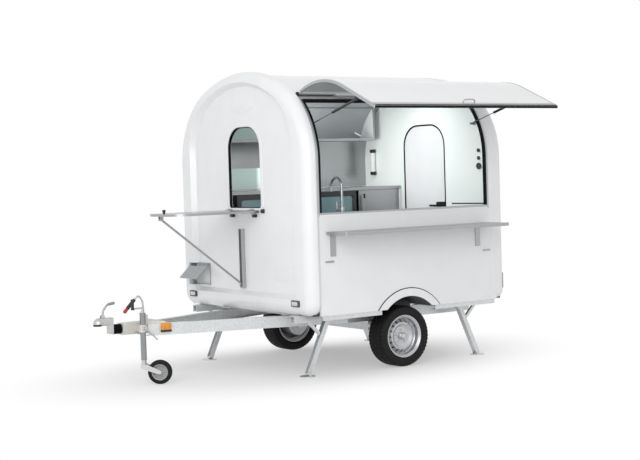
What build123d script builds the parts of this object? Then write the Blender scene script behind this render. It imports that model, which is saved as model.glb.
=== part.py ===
"""Coffee trailer on one rubber-sprung axle, as separately named pieces in millimetres.

Working frame: X from the drawbar to the rear, Y away from the serving side, Z up, origin on the ground
under the middle of the axle. At the end all pieces move together, so that the origin becomes the middle of
the bounding box on the ground. The hatch, the serving shelf and the front table are built open.
"""

import os
from math import atan2, cos, degrees, hypot, pi, radians, sin, sqrt, tan

from build123d import *

# Body shell: a three-centred arch drawn along X, closed by two moulded end caps.
BODY_WIDTH = 2000
BODY_FRONT = -1053
BODY_REAR = 1127
BODY_BOTTOM = 515
BODY_TOP = 2552
HAUNCH_RADIUS = 680
CROWN_RADIUS = 1420
WALL = 30
FRONT_CAP_DEPTH = 132
REAR_CAP_DEPTH = 124
FRONT_PROUD = 26
REAR_PROUD = 0
FRONT_SLOPE = 36
REAR_SLOPE = 20
EDGE_RADIUS = 88
FRONT_CORNER = 115
REAR_CORNER = 65
FRONT_RECESS = 45
REAR_RECESS = 25
PANEL_SIDE = 175
PANEL_TOP = 65
PANEL_LOW = 135
PANEL_HAUNCH = 480
PANEL_CROWN = 1146
PANEL_DRAFT = 35
FLOOR_THICK = 30

# Openings.
SILL_Z = 1358
HATCH_X0 = -900
HATCH_X1 = 906
FRAME_TOP_ARC = 111.3
FRAME_HEAD_ARC = 95
FRAME_RAIL = 30
FRAME_POST = 30
WINDOW_WIDTH = 510
WINDOW_MIDDLE = -25
WINDOW_Z0 = 1402
HEAD_DROP = 450
WINDOW_RADIUS = 190
DOOR_Y0 = -250
DOOR_Y1 = 332
DOOR_GAP = 4
DOOR_HINGE_IN = 230
INLET_SIDE = 95
INLET_WIDTH = 311
INLET_Z0 = 703
INLET_Z1 = 901

# Hatch and gas struts.
HATCH_GAP = 3
HATCH_THICK = 22
HATCH_FRONT_LAP = 12
HATCH_REAR_LAP = 140
HATCH_LOW_LAP = 14
HATCH_OPEN_DEG = 66
HINGE_ARC = 35.6
HINGE_SHORT = 5
LEAF = 26
LEAF_LAP = 2
HINGE_KNUCKLE = 9
HINGE_PIN = 5
RUN_GAP = 0.06
STRUT_X0 = -872
STRUT_X1 = 878
STRUT_FOOT_ARC = 225.5
STRUT_FOOT_IN = 69
STRUT_HEAD_IN = 24
STRUT_HEAD_DROP = 180
STRUT_RADIUS = 11
STRUT_ROD = 4
STRUT_BORE_GAP = 0.4
CYLINDER_LENGTH = 355

# Serving shelf.
SHELF_X0 = -868
SHELF_X1 = 901
SHELF_DEPTH = 275
SHELF_TOP = 1205
SHELF_THICK = 28
SHELF_CORNER = 10
SHELF_SKIN = 3
SHELF_BRACKET_X = 790
BRACKET_TALL = 172

# Front table, prop and rail.
TABLE_WIDTH = 536
TABLE_LENGTH = 840
TABLE_THICK = 20
TABLE_TOP = 1383
TABLE_CORNER = 180
TABLE_HINGE_RISE = 6
KNOB_HEIGHT = 36
TABLE_HINGE_OUT = 9
PROP_REACH = 800
PROP_DROP = 26
PROP_FOOT_OUT = 22
PROP_FOOT_Z = 735
RAIL_Y = 20
RAIL_Z0 = 706
RAIL_Z1 = 1222
RAIL_OUT = 38

# Inlet flap.
FLAP_OPEN_DEG = 46

# Running gear: 195/50 R13 tyres.
WHEEL_RADIUS = 262.5
TYRE_HALF = 97
RIM_SEAT = 165
RIM_FLANGE = 182.5
RIM_HALF = 84
TRACK = 1671
RIM_VENTS = 16
WHEEL_ARCH = 358
ARCH_TRIM = 416
GUARD_THICK = 6
GUARD_Y = 690
AXLE_BEAM = 80
AXLE_BEAM_X = -150
ARM_THICK = 30
SPINDLE = 20

# Chassis.
RAIL_HEIGHT = 40
RAIL_WIDTH = 45
RAIL_IN = 10
DRAWBAR_HEIGHT = 96
DRAWBAR_WIDTH = 50
DRAWBAR_TOP = 488
DRAWBAR_SKIN = 5
DRAWBAR_TIP_X = -2046
DRAWBAR_TIP_Y = 85
DRAWBAR_DEG = 18
BEND_X = -400
CHASSIS_REAR = 985
MEMBER_WIDTH = 60
MEMBER_FRONT = -850
MEMBER_REAR = 955
MEMBER_AXLE = 420
MEMBER_STEADY = 640

# Steadies.
STEADY_IN = 210
STEADY_PIVOT_X = 728
STEADY_PIVOT_Z = 462
STEADY_REACH = 205
STEADY_FOOT_Z = 14
STEADY_WIDTH = 50
STEADY_PAD = 65
STEADY_FOLD_DEG = 50
BRACE_ON_LEG = 145
BRACE_TOP_X = 925
BRACE_TOP_Z = 468
BRACE_WIDTH = 24

# Hitch.
COUPLING_TIP = -2480
BALL_X = -2438
BALL_Z = 505
BALL_RADIUS = 25
TUBE_Z = 462
TUBE_RADIUS = 25
OVERRUN_TRAVEL = 50
HOUSING_FRONT = -2240
BELLOWS_RADIUS = 42
BELLOWS_RIBS = 6
LEVER_Y = 40
LEVER_PIVOT_X = -2000
LEVER_PIVOT_Z = 540
JOCKEY_X = -2105
JOCKEY_Y = -134
JOCKEY_TUBE = 24
JOCKEY_TRAIL = 129
JOCKEY_TURN_DEG = -35.5
JOCKEY_WHEEL = 100

# Lamps.
FRONT_LAMP_IN = 175
TAIL_LAMP_IN = 120
LAMP_Z = 620
LAMP_HALF = 55
LAMP_TALL = 52
LAMP_OUT = 20
TAIL_RISE = 120
TAIL_OUT = 26
SIDE_LAMP_X = -1905
SIDE_LAMP_Z = 455
SIDE_LAMP_LONG = 90
SIDE_LAMP_TALL = 74
SIDE_LAMP_OUT = 32

# Inside.
COUNTER_TOP = 1342
COUNTER_DEPTH = 515
SINK_X0 = -700
SINK_X1 = -330
SINK_BACK = 140
SINK_WIDTH = 310
SINK_DEPTH = 160
TAP_X = -600
TAP_BACK = 85
TAP_HEIGHT = 300
FAR_COUNTER_TOP = 1540
FAR_COUNTER_DEPTH = 570
FRIDGE_AIR = 30
GLASS_X0 = -822
GLASS_X1 = 520
STEEL_X0 = 545
STEEL_X1 = 1060
OVERHEAD_RISE = 191
OVERHEAD_DEPTH = 270
OVERHEAD_LIP = 24

# Worked-out values.
HALF = BODY_WIDTH / 2
HAUNCH_Y = HALF - HAUNCH_RADIUS
CROWN_Z = BODY_TOP - CROWN_RADIUS
SPRING_Z = CROWN_Z + sqrt((CROWN_RADIUS - HAUNCH_RADIUS) ** 2 - HAUNCH_Y**2)
JOIN_DEG = degrees(atan2(HAUNCH_Y, SPRING_Z - CROWN_Z))
FRAME_TOP_DEG = JOIN_DEG + degrees(FRAME_TOP_ARC / HAUNCH_RADIUS)
FRAME_HEAD_DEG = FRAME_TOP_DEG + degrees(FRAME_HEAD_ARC / HAUNCH_RADIUS)
HINGE_DEG = FRAME_TOP_DEG + degrees(HINGE_ARC / HAUNCH_RADIUS)
STRUT_FOOT_DEG = FRAME_HEAD_DEG + degrees(STRUT_FOOT_ARC / HAUNCH_RADIUS)
FRONT_SEAM = BODY_FRONT + FRONT_CAP_DEPTH
REAR_SEAM = BODY_REAR - REAR_CAP_DEPTH
FRONT_PANEL = BODY_FRONT + FRONT_RECESS
FRONT_INNER = FRONT_PANEL + WALL
REAR_PANEL = BODY_REAR - REAR_RECESS
REAR_INNER = REAR_PANEL - WALL
FLOOR_TOP = BODY_BOTTOM + FLOOR_THICK
INNER_Y = HALF - WALL
WINDOW_Z1 = BODY_TOP - HEAD_DROP
DOOR_Z1 = BODY_TOP - HEAD_DROP
INLET_Y1 = HALF - INLET_SIDE
INLET_Y0 = INLET_Y1 - INLET_WIDTH
RAIL_OUTER_Y = HALF - RAIL_IN
STEADY_Y = HALF - STEADY_IN
COUNTER_EDGE_Y = COUNTER_DEPTH - INNER_Y
SINK_Y0 = SINK_BACK - INNER_Y
SINK_Y1 = SINK_Y0 + SINK_WIDTH
TAP_Y = TAP_BACK - INNER_Y
FAR_COUNTER_Y = INNER_Y - FAR_COUNTER_DEPTH
OVERHEAD_Z = SPRING_Z + OVERHEAD_RISE
OVERHEAD_Y = INNER_Y - OVERHEAD_DEPTH
WHEEL_Y = TRACK / 2
AXLE_Z = WHEEL_RADIUS
DRAWBAR_LOW = DRAWBAR_TOP - DRAWBAR_HEIGHT


# Shared shapes.
def along_x(face, x0, x1):
    return extrude(Plane.YZ.offset(x0) * face, x1 - x0)


def along_y(face, y0, y1):
    return extrude(Plane.XZ.offset(-y1) * face, y1 - y0)


def along_z(face, z0, z1):
    return extrude(Plane.XY.offset(z0) * face, z1 - z0)


def block(x0, x1, y0, y1, z0, z1):
    return Pos((x0 + x1) / 2, (y0 + y1) / 2, (z0 + z1) / 2) * Box(x1 - x0, y1 - y0, z1 - z0)


def outline(*edges):
    return make_face(Curve() + list(edges))


def polygon(*points):
    return make_face(Polyline(*points, close=True))


def rod(start, end, radius, bore=0):
    ring = Circle(radius)
    if bore:
        ring -= Circle(bore)
    path = Vector(*end) - Vector(*start)
    return extrude(Plane(origin=start, z_dir=path) * ring, path.length)


def rod_y(x, z, y0, y1, radius, bore=0):
    return rod((x, y0, z), (x, y1, z), radius, bore)


def bent_rod(points, y, bend, radius):
    """A round rod along a path of (x, z) points at one y, with rounded bends."""
    path = Plane.XZ.offset(-y) * FilletPolyline(*points, radius=bend)
    ring = Plane(origin=path @ 0, z_dir=path % 0) * Circle(radius)
    return sweep(ring, path=path)


def far_side(shape):
    return mirror(shape, about=Plane.XZ)


def pair(near):
    return Compound(list(near.solids()) + list(far_side(near).solids()))


def group(*shapes):
    return Compound([solid for shape in shapes for solid in shape.solids()])


def arch_point(side, angle, inset=0):
    """A point on the haunch arc; the angle in degrees is measured from straight up."""
    radius = HAUNCH_RADIUS - inset
    return (
        side * (HAUNCH_Y + radius * sin(radians(angle))),
        SPRING_Z + radius * cos(radians(angle)),
    )


def haunch(side, start, end, inset=0):
    middle = (start + end) / 2
    return ThreePointArc(
        arch_point(side, start, inset), arch_point(side, middle, inset), arch_point(side, end, inset)
    )


def crown(inset=0):
    return ThreePointArc(
        arch_point(-1, JOIN_DEG, inset), (0, BODY_TOP - inset), arch_point(1, JOIN_DEG, inset)
    )


def arched(half, top, haunch_radius, crown_radius, bottom, corner):
    """A three-centred arch on straight sides, with rounded lower corners."""
    centre = half - haunch_radius
    spring = top - crown_radius + sqrt((crown_radius - haunch_radius) ** 2 - centre**2)
    join = atan2(centre, spring - top + crown_radius)
    low = bottom + corner
    cut = corner * (1 - cos(radians(45)))

    def at(side, angle):
        return (side * (centre + haunch_radius * sin(angle)), spring + haunch_radius * cos(angle))

    middle = (join + pi / 2) / 2
    return outline(
        Line((-half, low), (-half, spring)),
        ThreePointArc((-half, spring), at(-1, middle), at(-1, join)),
        ThreePointArc(at(-1, join), (0, top), at(1, join)),
        ThreePointArc(at(1, join), at(1, middle), (half, spring)),
        Line((half, spring), (half, low)),
        ThreePointArc((half, low), (half - cut, bottom + cut), (half - corner, bottom)),
        Line((half - corner, bottom), (corner - half, bottom)),
        ThreePointArc((corner - half, bottom), (cut - half, bottom + cut), (-half, low)),
    )


def arch_face(inset, bottom, corner):
    """The body's cross section, moved inwards by inset."""
    return arched(
        HALF - inset, BODY_TOP - inset, HAUNCH_RADIUS - inset, CROWN_RADIUS - inset, bottom, corner
    )


def panel_face(inset, corner):
    """The outline of the recess in an end cap, moved inwards by inset."""
    return arched(
        HALF - PANEL_SIDE - inset,
        BODY_TOP - PANEL_TOP - inset,
        PANEL_HAUNCH - inset,
        PANEL_CROWN - inset,
        BODY_BOTTOM + PANEL_LOW + inset,
        corner,
    )


def opening_face(y0, y1, z0, z1, top, low):
    """An upright opening with large top corners and small lower ones."""
    t = top * (1 - cos(radians(45)))
    b = low * (1 - cos(radians(45)))
    return outline(
        Line((y0, z0 + low), (y0, z1 - top)),
        ThreePointArc((y0, z1 - top), (y0 + t, z1 - t), (y0 + top, z1)),
        Line((y0 + top, z1), (y1 - top, z1)),
        ThreePointArc((y1 - top, z1), (y1 - t, z1 - t), (y1, z1 - top)),
        Line((y1, z1 - top), (y1, z0 + low)),
        ThreePointArc((y1, z0 + low), (y1 - b, z0 + b), (y1 - low, z0)),
        Line((y1 - low, z0), (y0 + low, z0)),
        ThreePointArc((y0 + low, z0), (y0 + b, z0 + b), (y0, z0 + low)),
    )


def end_cap(face_x, seam, panel, proud_by, slope, corner):
    """A moulded hollow end: rounded rim, drafted recess, and a back edge that slopes to the walls."""
    inward = 1 if seam > face_x else -1
    shoulder = seam - inward * slope
    proud = arch_face(-proud_by, BODY_BOTTOM, corner)
    cap = along_x(proud, min(face_x, shoulder), max(face_x, shoulder))
    edges = cap.edges().filter_by_position(Axis.X, face_x - 0.1, face_x + 0.1)
    cap = fillet(edges, EDGE_RADIUS)
    flush = arch_face(0, BODY_BOTTOM, corner)
    cap += loft([Plane.YZ.offset(shoulder) * proud, Plane.YZ.offset(seam) * flush], ruled=True)
    back = panel + inward * WALL
    hollow = arch_face(WALL, BODY_BOTTOM - 1, corner - WALL)
    cap -= along_x(hollow, min(back, seam), max(back, seam))
    cap -= block(min(back, seam), max(back, seam), -INNER_Y, INNER_Y, BODY_BOTTOM - 1, BODY_BOTTOM + corner)
    wide = Plane.YZ.offset(face_x) * panel_face(0, 70)
    narrow = Plane.YZ.offset(panel) * panel_face(PANEL_DRAFT, 50)
    return cap - loft([wide, narrow], ruled=True)


nodes = {}

# End caps, with the serving window, the inlet and the entrance cut through.
window_y0 = WINDOW_MIDDLE - WINDOW_WIDTH / 2
window = opening_face(window_y0, window_y0 + WINDOW_WIDTH, WINDOW_Z0, WINDOW_Z1, WINDOW_RADIUS, 25)
inlet_hole = block(BODY_FRONT, FRONT_INNER + 1, INLET_Y0, INLET_Y1, INLET_Z0, INLET_Z1)
front_cap = end_cap(BODY_FRONT, FRONT_SEAM, FRONT_PANEL, FRONT_PROUD, FRONT_SLOPE, FRONT_CORNER)
front_cap -= along_x(window, BODY_FRONT, FRONT_INNER + 1)
nodes["front_cap"] = front_cap - inlet_hole

doorway = opening_face(DOOR_Y0, DOOR_Y1, FLOOR_TOP, DOOR_Z1, WINDOW_RADIUS, 12)
rear_cap = end_cap(BODY_REAR, REAR_SEAM, REAR_PANEL, REAR_PROUD, REAR_SLOPE, REAR_CORNER)
nodes["rear_cap"] = rear_cap - along_x(doorway, REAR_INNER - 1, BODY_REAR + 1)

# Roof with the far wall, and the floor.
roof_face = outline(
    haunch(-1, FRAME_TOP_DEG, JOIN_DEG),
    crown(),
    haunch(1, JOIN_DEG, 90),
    Line((HALF, SPRING_Z), (HALF, BODY_BOTTOM)),
    Line((HALF, BODY_BOTTOM), (INNER_Y, BODY_BOTTOM)),
    Line((INNER_Y, BODY_BOTTOM), (INNER_Y, SPRING_Z)),
    haunch(1, 90, JOIN_DEG, WALL),
    crown(WALL),
    haunch(-1, JOIN_DEG, FRAME_TOP_DEG, WALL),
    Line(arch_point(-1, FRAME_TOP_DEG, WALL), arch_point(-1, FRAME_TOP_DEG)),
)
arch_hole = rod_y(0, AXLE_Z, -HALF - 20, -GUARD_Y, WHEEL_ARCH)
nodes["roof_shell"] = along_x(roof_face, FRONT_SEAM, REAR_SEAM) - far_side(arch_hole)
floor_panel = block(FRONT_INNER, REAR_INNER, -INNER_Y, INNER_Y, BODY_BOTTOM, FLOOR_TOP)
nodes["floor_panel"] = floor_panel - arch_hole - far_side(arch_hole)


def near_band(top_deg, low_z, outer, inner):
    """The near side's section from an angle on the haunch down to a height."""
    return outline(
        haunch(-1, top_deg, 90, outer),
        Line((outer - HALF, SPRING_Z), (outer - HALF, low_z)),
        Line((outer - HALF, low_z), (inner - HALF, low_z)),
        Line((inner - HALF, low_z), (inner - HALF, SPRING_Z)),
        haunch(-1, 90, top_deg, inner),
        Line(arch_point(-1, top_deg, inner), arch_point(-1, top_deg, outer)),
    )


# Near side wall below the hatch, with the upright band behind the hatch frame.
RAIL_LOW_Z = SILL_Z - FRAME_RAIL
POST_END = HATCH_X1 + FRAME_POST
side_wall = block(FRONT_SEAM, REAR_SEAM, -HALF, -INNER_Y, BODY_BOTTOM, RAIL_LOW_Z)
side_wall += along_x(near_band(FRAME_HEAD_DEG, RAIL_LOW_Z, 0, WALL), POST_END, REAR_SEAM)
nodes["side_wall"] = side_wall - arch_hole

# Hatch frame: two curved posts, the top rail with the hinge, and the sill rail.
HINGE_OUT = HATCH_GAP + HATCH_THICK / 2
HINGE_Y, HINGE_Z = arch_point(-1, HINGE_DEG, -HINGE_OUT)
hinge_plane = Plane(
    origin=(0, HINGE_Y, HINGE_Z),
    x_dir=(1, 0, 0),
    z_dir=(0, -sin(radians(HINGE_DEG)), cos(radians(HINGE_DEG))),
)
HATCH_START = HATCH_X0 - HATCH_FRONT_LAP
HATCH_END = HATCH_X1 + HATCH_REAR_LAP
HINGE_END = REAR_SEAM - HINGE_SHORT
hinge_length = HINGE_END - HATCH_START
knuckle_length = hinge_length / 5


def knuckle(index, towards_roof):
    """One hinge knuckle with its leaf, in the hinge's own plane."""
    length = knuckle_length - 1
    middle = HATCH_START + (index + 0.5) * knuckle_length
    barrel = Rot(0, 90, 0) * Cylinder(HINGE_KNUCKLE, length)
    if towards_roof:
        leaf = Pos(0, LEAF / 2, -5) * Box(length, LEAF, 8)
        leaf += Pos(0, LEAF - 5, -HINGE_OUT / 2 - 2) * Box(length, 10, HINGE_OUT - 3)
    else:
        leaf = Pos(0, -LEAF / 2, 0) * Box(length, LEAF, 8)
    return hinge_plane * Pos(middle, 0, 0) * (barrel + leaf)


hatch_frame = along_x(near_band(FRAME_TOP_DEG, RAIL_LOW_Z, 0, WALL), FRONT_SEAM, REAR_SEAM)
hatch_frame -= along_x(near_band(FRAME_HEAD_DEG, SILL_Z, -20, WALL + 20), HATCH_X0, HATCH_X1)
hatch_frame -= along_x(near_band(FRAME_HEAD_DEG, RAIL_LOW_Z - 1, -20, WALL + 20), POST_END, REAR_SEAM + 1)
pin = hinge_plane * Pos((HATCH_START + HINGE_END) / 2, 0, 0) * Rot(0, 90, 0)
for index in (0, 2, 4):
    hatch_frame += knuckle(index, True)
hatch_frame += pin * Cylinder(HINGE_PIN, hinge_length - 1)

# Lugs that carry the feet of the gas struts, square to the curved posts.
STRUT_FOOT_Y, STRUT_FOOT_Z = arch_point(-1, STRUT_FOOT_DEG, STRUT_FOOT_IN)
LUG_DEPTH = 20
LUG_SUNK = WALL / 2
foot_plane = Plane(
    origin=(0, STRUT_FOOT_Y, STRUT_FOOT_Z),
    x_dir=(1, 0, 0),
    z_dir=(0, -sin(radians(STRUT_FOOT_DEG)), cos(radians(STRUT_FOOT_DEG))),
)
lug_top = STRUT_FOOT_IN - WALL + LUG_SUNK
for strut_x, away, post_x in ((STRUT_X0, -1, HATCH_X0), (STRUT_X1, 1, HATCH_X1)):
    stud_x = strut_x + away * 12
    end_x = post_x + away * LUG_DEPTH
    stem = Pos((stud_x + end_x) / 2, 0, 0) * Box(abs(end_x - stud_x), 18, 18)
    lug = Pos((post_x + end_x) / 2, 0, (lug_top - 9) / 2) * Box(LUG_DEPTH, 28, lug_top + 9)
    hatch_frame += foot_plane * (stem + lug)
nodes["hatch_frame"] = hatch_frame

hatch_top_deg = HINGE_DEG + degrees((LEAF - LEAF_LAP) / (HAUNCH_RADIUS + HINGE_OUT))
hatch_section = near_band(hatch_top_deg, SILL_Z - HATCH_LOW_LAP, -HATCH_GAP - HATCH_THICK, -HATCH_GAP)
hatch_closed = along_x(hatch_section, HATCH_START, HATCH_END)
for index in (1, 3):
    hatch_closed += knuckle(index, False)
hatch_closed -= pin * Cylinder(HINGE_PIN + RUN_GAP, hinge_length + 2)


def open_hatch(shape):
    turn = Pos(0, HINGE_Y, HINGE_Z) * Rot(-HATCH_OPEN_DEG, 0, 0) * Pos(0, -HINGE_Y, -HINGE_Z)
    return turn * shape


# The strut's head on the closed hatch, turned open with it, and how far strut and rod travel.
swing = radians(HATCH_OPEN_DEG)
HEAD_SHUT_Y = STRUT_HEAD_IN - HALF - HATCH_GAP
HEAD_SHUT_Z = SPRING_Z - STRUT_HEAD_DROP
head_dy = HEAD_SHUT_Y - HINGE_Y
head_dz = HEAD_SHUT_Z - HINGE_Z
STRUT_HEAD_Y = HINGE_Y + head_dy * cos(swing) + head_dz * sin(swing)
STRUT_HEAD_Z = HINGE_Z - head_dy * sin(swing) + head_dz * cos(swing)
strut_dy = STRUT_FOOT_Y - STRUT_HEAD_Y
strut_dz = STRUT_FOOT_Z - STRUT_HEAD_Z
STRUT_OPEN = hypot(strut_dy, strut_dz)
STRUT_SHUT = hypot(STRUT_FOOT_Y - HEAD_SHUT_Y, STRUT_FOOT_Z - HEAD_SHUT_Z)
shut_angle = atan2(STRUT_FOOT_Z - HEAD_SHUT_Z, STRUT_FOOT_Y - HEAD_SHUT_Y)
open_angle = atan2(strut_dz, strut_dy)
STRUT_RATIO = (shut_angle - open_angle - swing) / swing
ROD_RATIO = (STRUT_SHUT - STRUT_OPEN) / 1000 / swing
STRUT_DIR = (0, strut_dy / STRUT_OPEN, strut_dz / STRUT_OPEN)

hatch_panel = open_hatch(hatch_closed)
PIVOT_PIN = 4
for strut_x, away in ((STRUT_X0, -1), (STRUT_X1, 1)):
    plate_x0, plate_x1 = sorted((strut_x + away * 13, strut_x + away * 17))
    plate = block(
        plate_x0,
        plate_x1,
        HEAD_SHUT_Y - STRUT_HEAD_IN - 1,
        HEAD_SHUT_Y + 12,
        HEAD_SHUT_Z - 16,
        HEAD_SHUT_Z + 16,
    )
    head = (strut_x, HEAD_SHUT_Y, HEAD_SHUT_Z)
    stud = rod(head, (strut_x + away * 15, HEAD_SHUT_Y, HEAD_SHUT_Z), PIVOT_PIN)
    hatch_panel += open_hatch(plate + stud)
nodes["hatch_panel"] = hatch_panel


def on_strut(distance, x):
    return (x, STRUT_HEAD_Y + STRUT_DIR[1] * distance, STRUT_HEAD_Z + STRUT_DIR[2] * distance)


cylinders = []
rods = []
for strut_x in (STRUT_X0, STRUT_X1):
    bore = STRUT_ROD + STRUT_BORE_GAP
    barrel = rod(on_strut(14, strut_x), on_strut(CYLINDER_LENGTH, strut_x), STRUT_RADIUS)
    barrel += rod(on_strut(0, strut_x - 8), on_strut(0, strut_x + 8), 9)
    barrel += rod(on_strut(0, strut_x), on_strut(20, strut_x), 6)
    barrel -= rod(on_strut(0, strut_x - 9), on_strut(0, strut_x + 9), PIVOT_PIN + RUN_GAP)
    barrel -= rod(on_strut(24, strut_x), on_strut(CYLINDER_LENGTH + 1, strut_x), bore)
    cylinders.append(barrel)
    piston = rod(on_strut(CYLINDER_LENGTH - 50, strut_x), on_strut(STRUT_OPEN, strut_x), STRUT_ROD)
    piston += rod(on_strut(STRUT_OPEN, strut_x - 8), on_strut(STRUT_OPEN, strut_x + 8), 9)
    rods.append(piston)
nodes["strut_cylinders"] = group(*cylinders)
nodes["strut_rods"] = group(*rods)

# Serving shelf: a folded sheet tray with its rim turned down, on two hinged wall brackets.
SHELF_HINGE_Y = -HALF - 14
SHELF_HINGE_Z = SHELF_TOP - SHELF_THICK - 6
shelf_y1 = SHELF_HINGE_Y - 9
shelf_y0 = shelf_y1 - SHELF_DEPTH
tray = block(SHELF_X0, SHELF_X1, shelf_y0, shelf_y1, SHELF_TOP - SHELF_THICK, SHELF_TOP)
tray = fillet(tray.edges().filter_by(Axis.Z).group_by(Axis.Y)[0], SHELF_CORNER)
hollow = block(
    SHELF_X0 + SHELF_SKIN,
    SHELF_X1 - SHELF_SKIN,
    shelf_y0 + SHELF_SKIN,
    shelf_y1 - SHELF_SKIN,
    SHELF_TOP - SHELF_THICK - 1,
    SHELF_TOP - SHELF_SKIN,
)
hollow = fillet(hollow.edges().filter_by(Axis.Z).group_by(Axis.Y)[0], SHELF_CORNER - SHELF_SKIN)
tray -= hollow
brackets = []
for x in (-SHELF_BRACKET_X, SHELF_BRACKET_X):
    plate = block(x - 26, x + 26, -HALF - 8, -HALF, SHELF_HINGE_Z - BRACKET_TALL, SHELF_HINGE_Z + 6)
    plate += block(x - 26, x + 26, SHELF_HINGE_Y, -HALF - 4, SHELF_HINGE_Z - 4, SHELF_HINGE_Z + 4)
    plate += rod((x - 26, SHELF_HINGE_Y, SHELF_HINGE_Z), (x + 26, SHELF_HINGE_Y, SHELF_HINGE_Z), 8)
    plate -= block(
        x - 10, x + 10, SHELF_HINGE_Y - 12, SHELF_HINGE_Y + 10, SHELF_HINGE_Z - 12, SHELF_HINGE_Z + 9
    )
    plate += rod((x - 26, SHELF_HINGE_Y, SHELF_HINGE_Z), (x + 26, SHELF_HINGE_Y, SHELF_HINGE_Z), PIVOT_PIN)
    brackets.append(plate)
    eye = rod((x - 9, SHELF_HINGE_Y, SHELF_HINGE_Z), (x + 9, SHELF_HINGE_Y, SHELF_HINGE_Z), 8)
    eye += block(x - 9, x + 9, SHELF_HINGE_Y - 8, SHELF_HINGE_Y, SHELF_HINGE_Z, SHELF_HINGE_Z + 12)
    eye += block(x - 9, x + 9, shelf_y0 + 90, SHELF_HINGE_Y - 4, SHELF_HINGE_Z + 4, SHELF_TOP - SHELF_SKIN)
    eye -= rod(
        (x - 10, SHELF_HINGE_Y, SHELF_HINGE_Z), (x + 10, SHELF_HINGE_Y, SHELF_HINGE_Z), PIVOT_PIN + RUN_GAP
    )
    tray += eye
nodes["serving_shelf"] = tray
nodes["shelf_brackets"] = group(*brackets)

# Front shutter, folded down to a table, with its prop and the wall rail for the prop's foot.
TABLE_HINGE_X = FRONT_PANEL - TABLE_HINGE_OUT
TABLE_HINGE_Z = TABLE_TOP + TABLE_HINGE_RISE
table_x1 = TABLE_HINGE_X - 10
table_x0 = TABLE_HINGE_X - TABLE_LENGTH
half = TABLE_WIDTH / 2
table = block(table_x0, table_x1, -half, half, TABLE_TOP - TABLE_THICK, TABLE_TOP)
table = fillet(table.edges().filter_by(Axis.Z).group_by(Axis.X)[0], TABLE_CORNER)
table_eyes = (-150, 210)
wall_hinges = None
for y in table_eyes:
    eye = rod_y(TABLE_HINGE_X, TABLE_HINGE_Z, y - 20, y + 20, 8)
    eye += block(table_x1 - 30, TABLE_HINGE_X, y - 20, y + 20, TABLE_TOP - 4, TABLE_HINGE_Z)
    eye -= rod_y(TABLE_HINGE_X, TABLE_HINGE_Z, y - 21, y + 21, PIVOT_PIN + RUN_GAP)
    table += eye
    for side in (-1, 1):
        y0, y1 = sorted((y + side * 21, y + side * 31))
        ear = rod_y(TABLE_HINGE_X, TABLE_HINGE_Z, y0, y1, 8)
        ear += block(TABLE_HINGE_X, FRONT_PANEL, y0, y1, TABLE_HINGE_Z - 40, TABLE_HINGE_Z + 8)
        wall_hinges = ear if wall_hinges is None else wall_hinges + ear
    wall_hinges += rod_y(TABLE_HINGE_X, TABLE_HINGE_Z, y - 31, y + 31, PIVOT_PIN)

PROP_X = TABLE_HINGE_X - PROP_REACH
PROP_Z = TABLE_TOP - TABLE_THICK - PROP_DROP
foot_x = FRONT_PANEL - PROP_FOOT_OUT
prop_dx = foot_x - PROP_X
prop_dz = PROP_FOOT_Z - PROP_Z
PROP_LENGTH = hypot(prop_dx, prop_dz)
shut_x = TABLE_HINGE_X + (PROP_Z - TABLE_HINGE_Z)
shut_z = TABLE_HINGE_Z + PROP_REACH
PROP_SHUT_Z = shut_z - PROP_LENGTH
PROP_RATIO = atan2(prop_dz, prop_dx) / (pi / 2)

for side in (-1, 1):
    y0, y1 = sorted((RAIL_Y + side * 13, RAIL_Y + side * 17))
    table += block(PROP_X - 15, PROP_X + 15, y0, y1, PROP_Z - 10, TABLE_TOP - TABLE_THICK + 1)
table += rod_y(PROP_X, PROP_Z, RAIL_Y - 17, RAIL_Y + 17, PIVOT_PIN)
knob = Cylinder(10, KNOB_HEIGHT, align=(Align.CENTER, Align.CENTER, Align.MIN))
table += Pos(table_x0 + 60, 0, TABLE_TOP) * knob
nodes["front_table"] = table

prop = rod((PROP_X, RAIL_Y, PROP_Z), (foot_x, RAIL_Y, PROP_FOOT_Z), 9)
prop += rod_y(PROP_X, PROP_Z, RAIL_Y - 12, RAIL_Y + 12, 11)
prop += rod_y(foot_x, PROP_FOOT_Z, RAIL_Y - 12, RAIL_Y + 12, 11)
prop -= rod_y(PROP_X, PROP_Z, RAIL_Y - 13, RAIL_Y + 13, PIVOT_PIN + RUN_GAP)
nodes["table_prop"] = prop

channel = block(FRONT_PANEL - 4, FRONT_PANEL, RAIL_Y - 22, RAIL_Y + 22, RAIL_Z0, RAIL_Z1)
for side in (-1, 1):
    y0, y1 = sorted((RAIL_Y + side * 18, RAIL_Y + side * 22))
    channel += block(FRONT_PANEL - RAIL_OUT, FRONT_PANEL, y0, y1, RAIL_Z0, RAIL_Z1)
channel += block(FRONT_PANEL - RAIL_OUT, FRONT_PANEL, RAIL_Y - 22, RAIL_Y + 22, RAIL_Z0, RAIL_Z0 + 12)
nodes["wall_rail"] = group(channel, wall_hinges)

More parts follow.
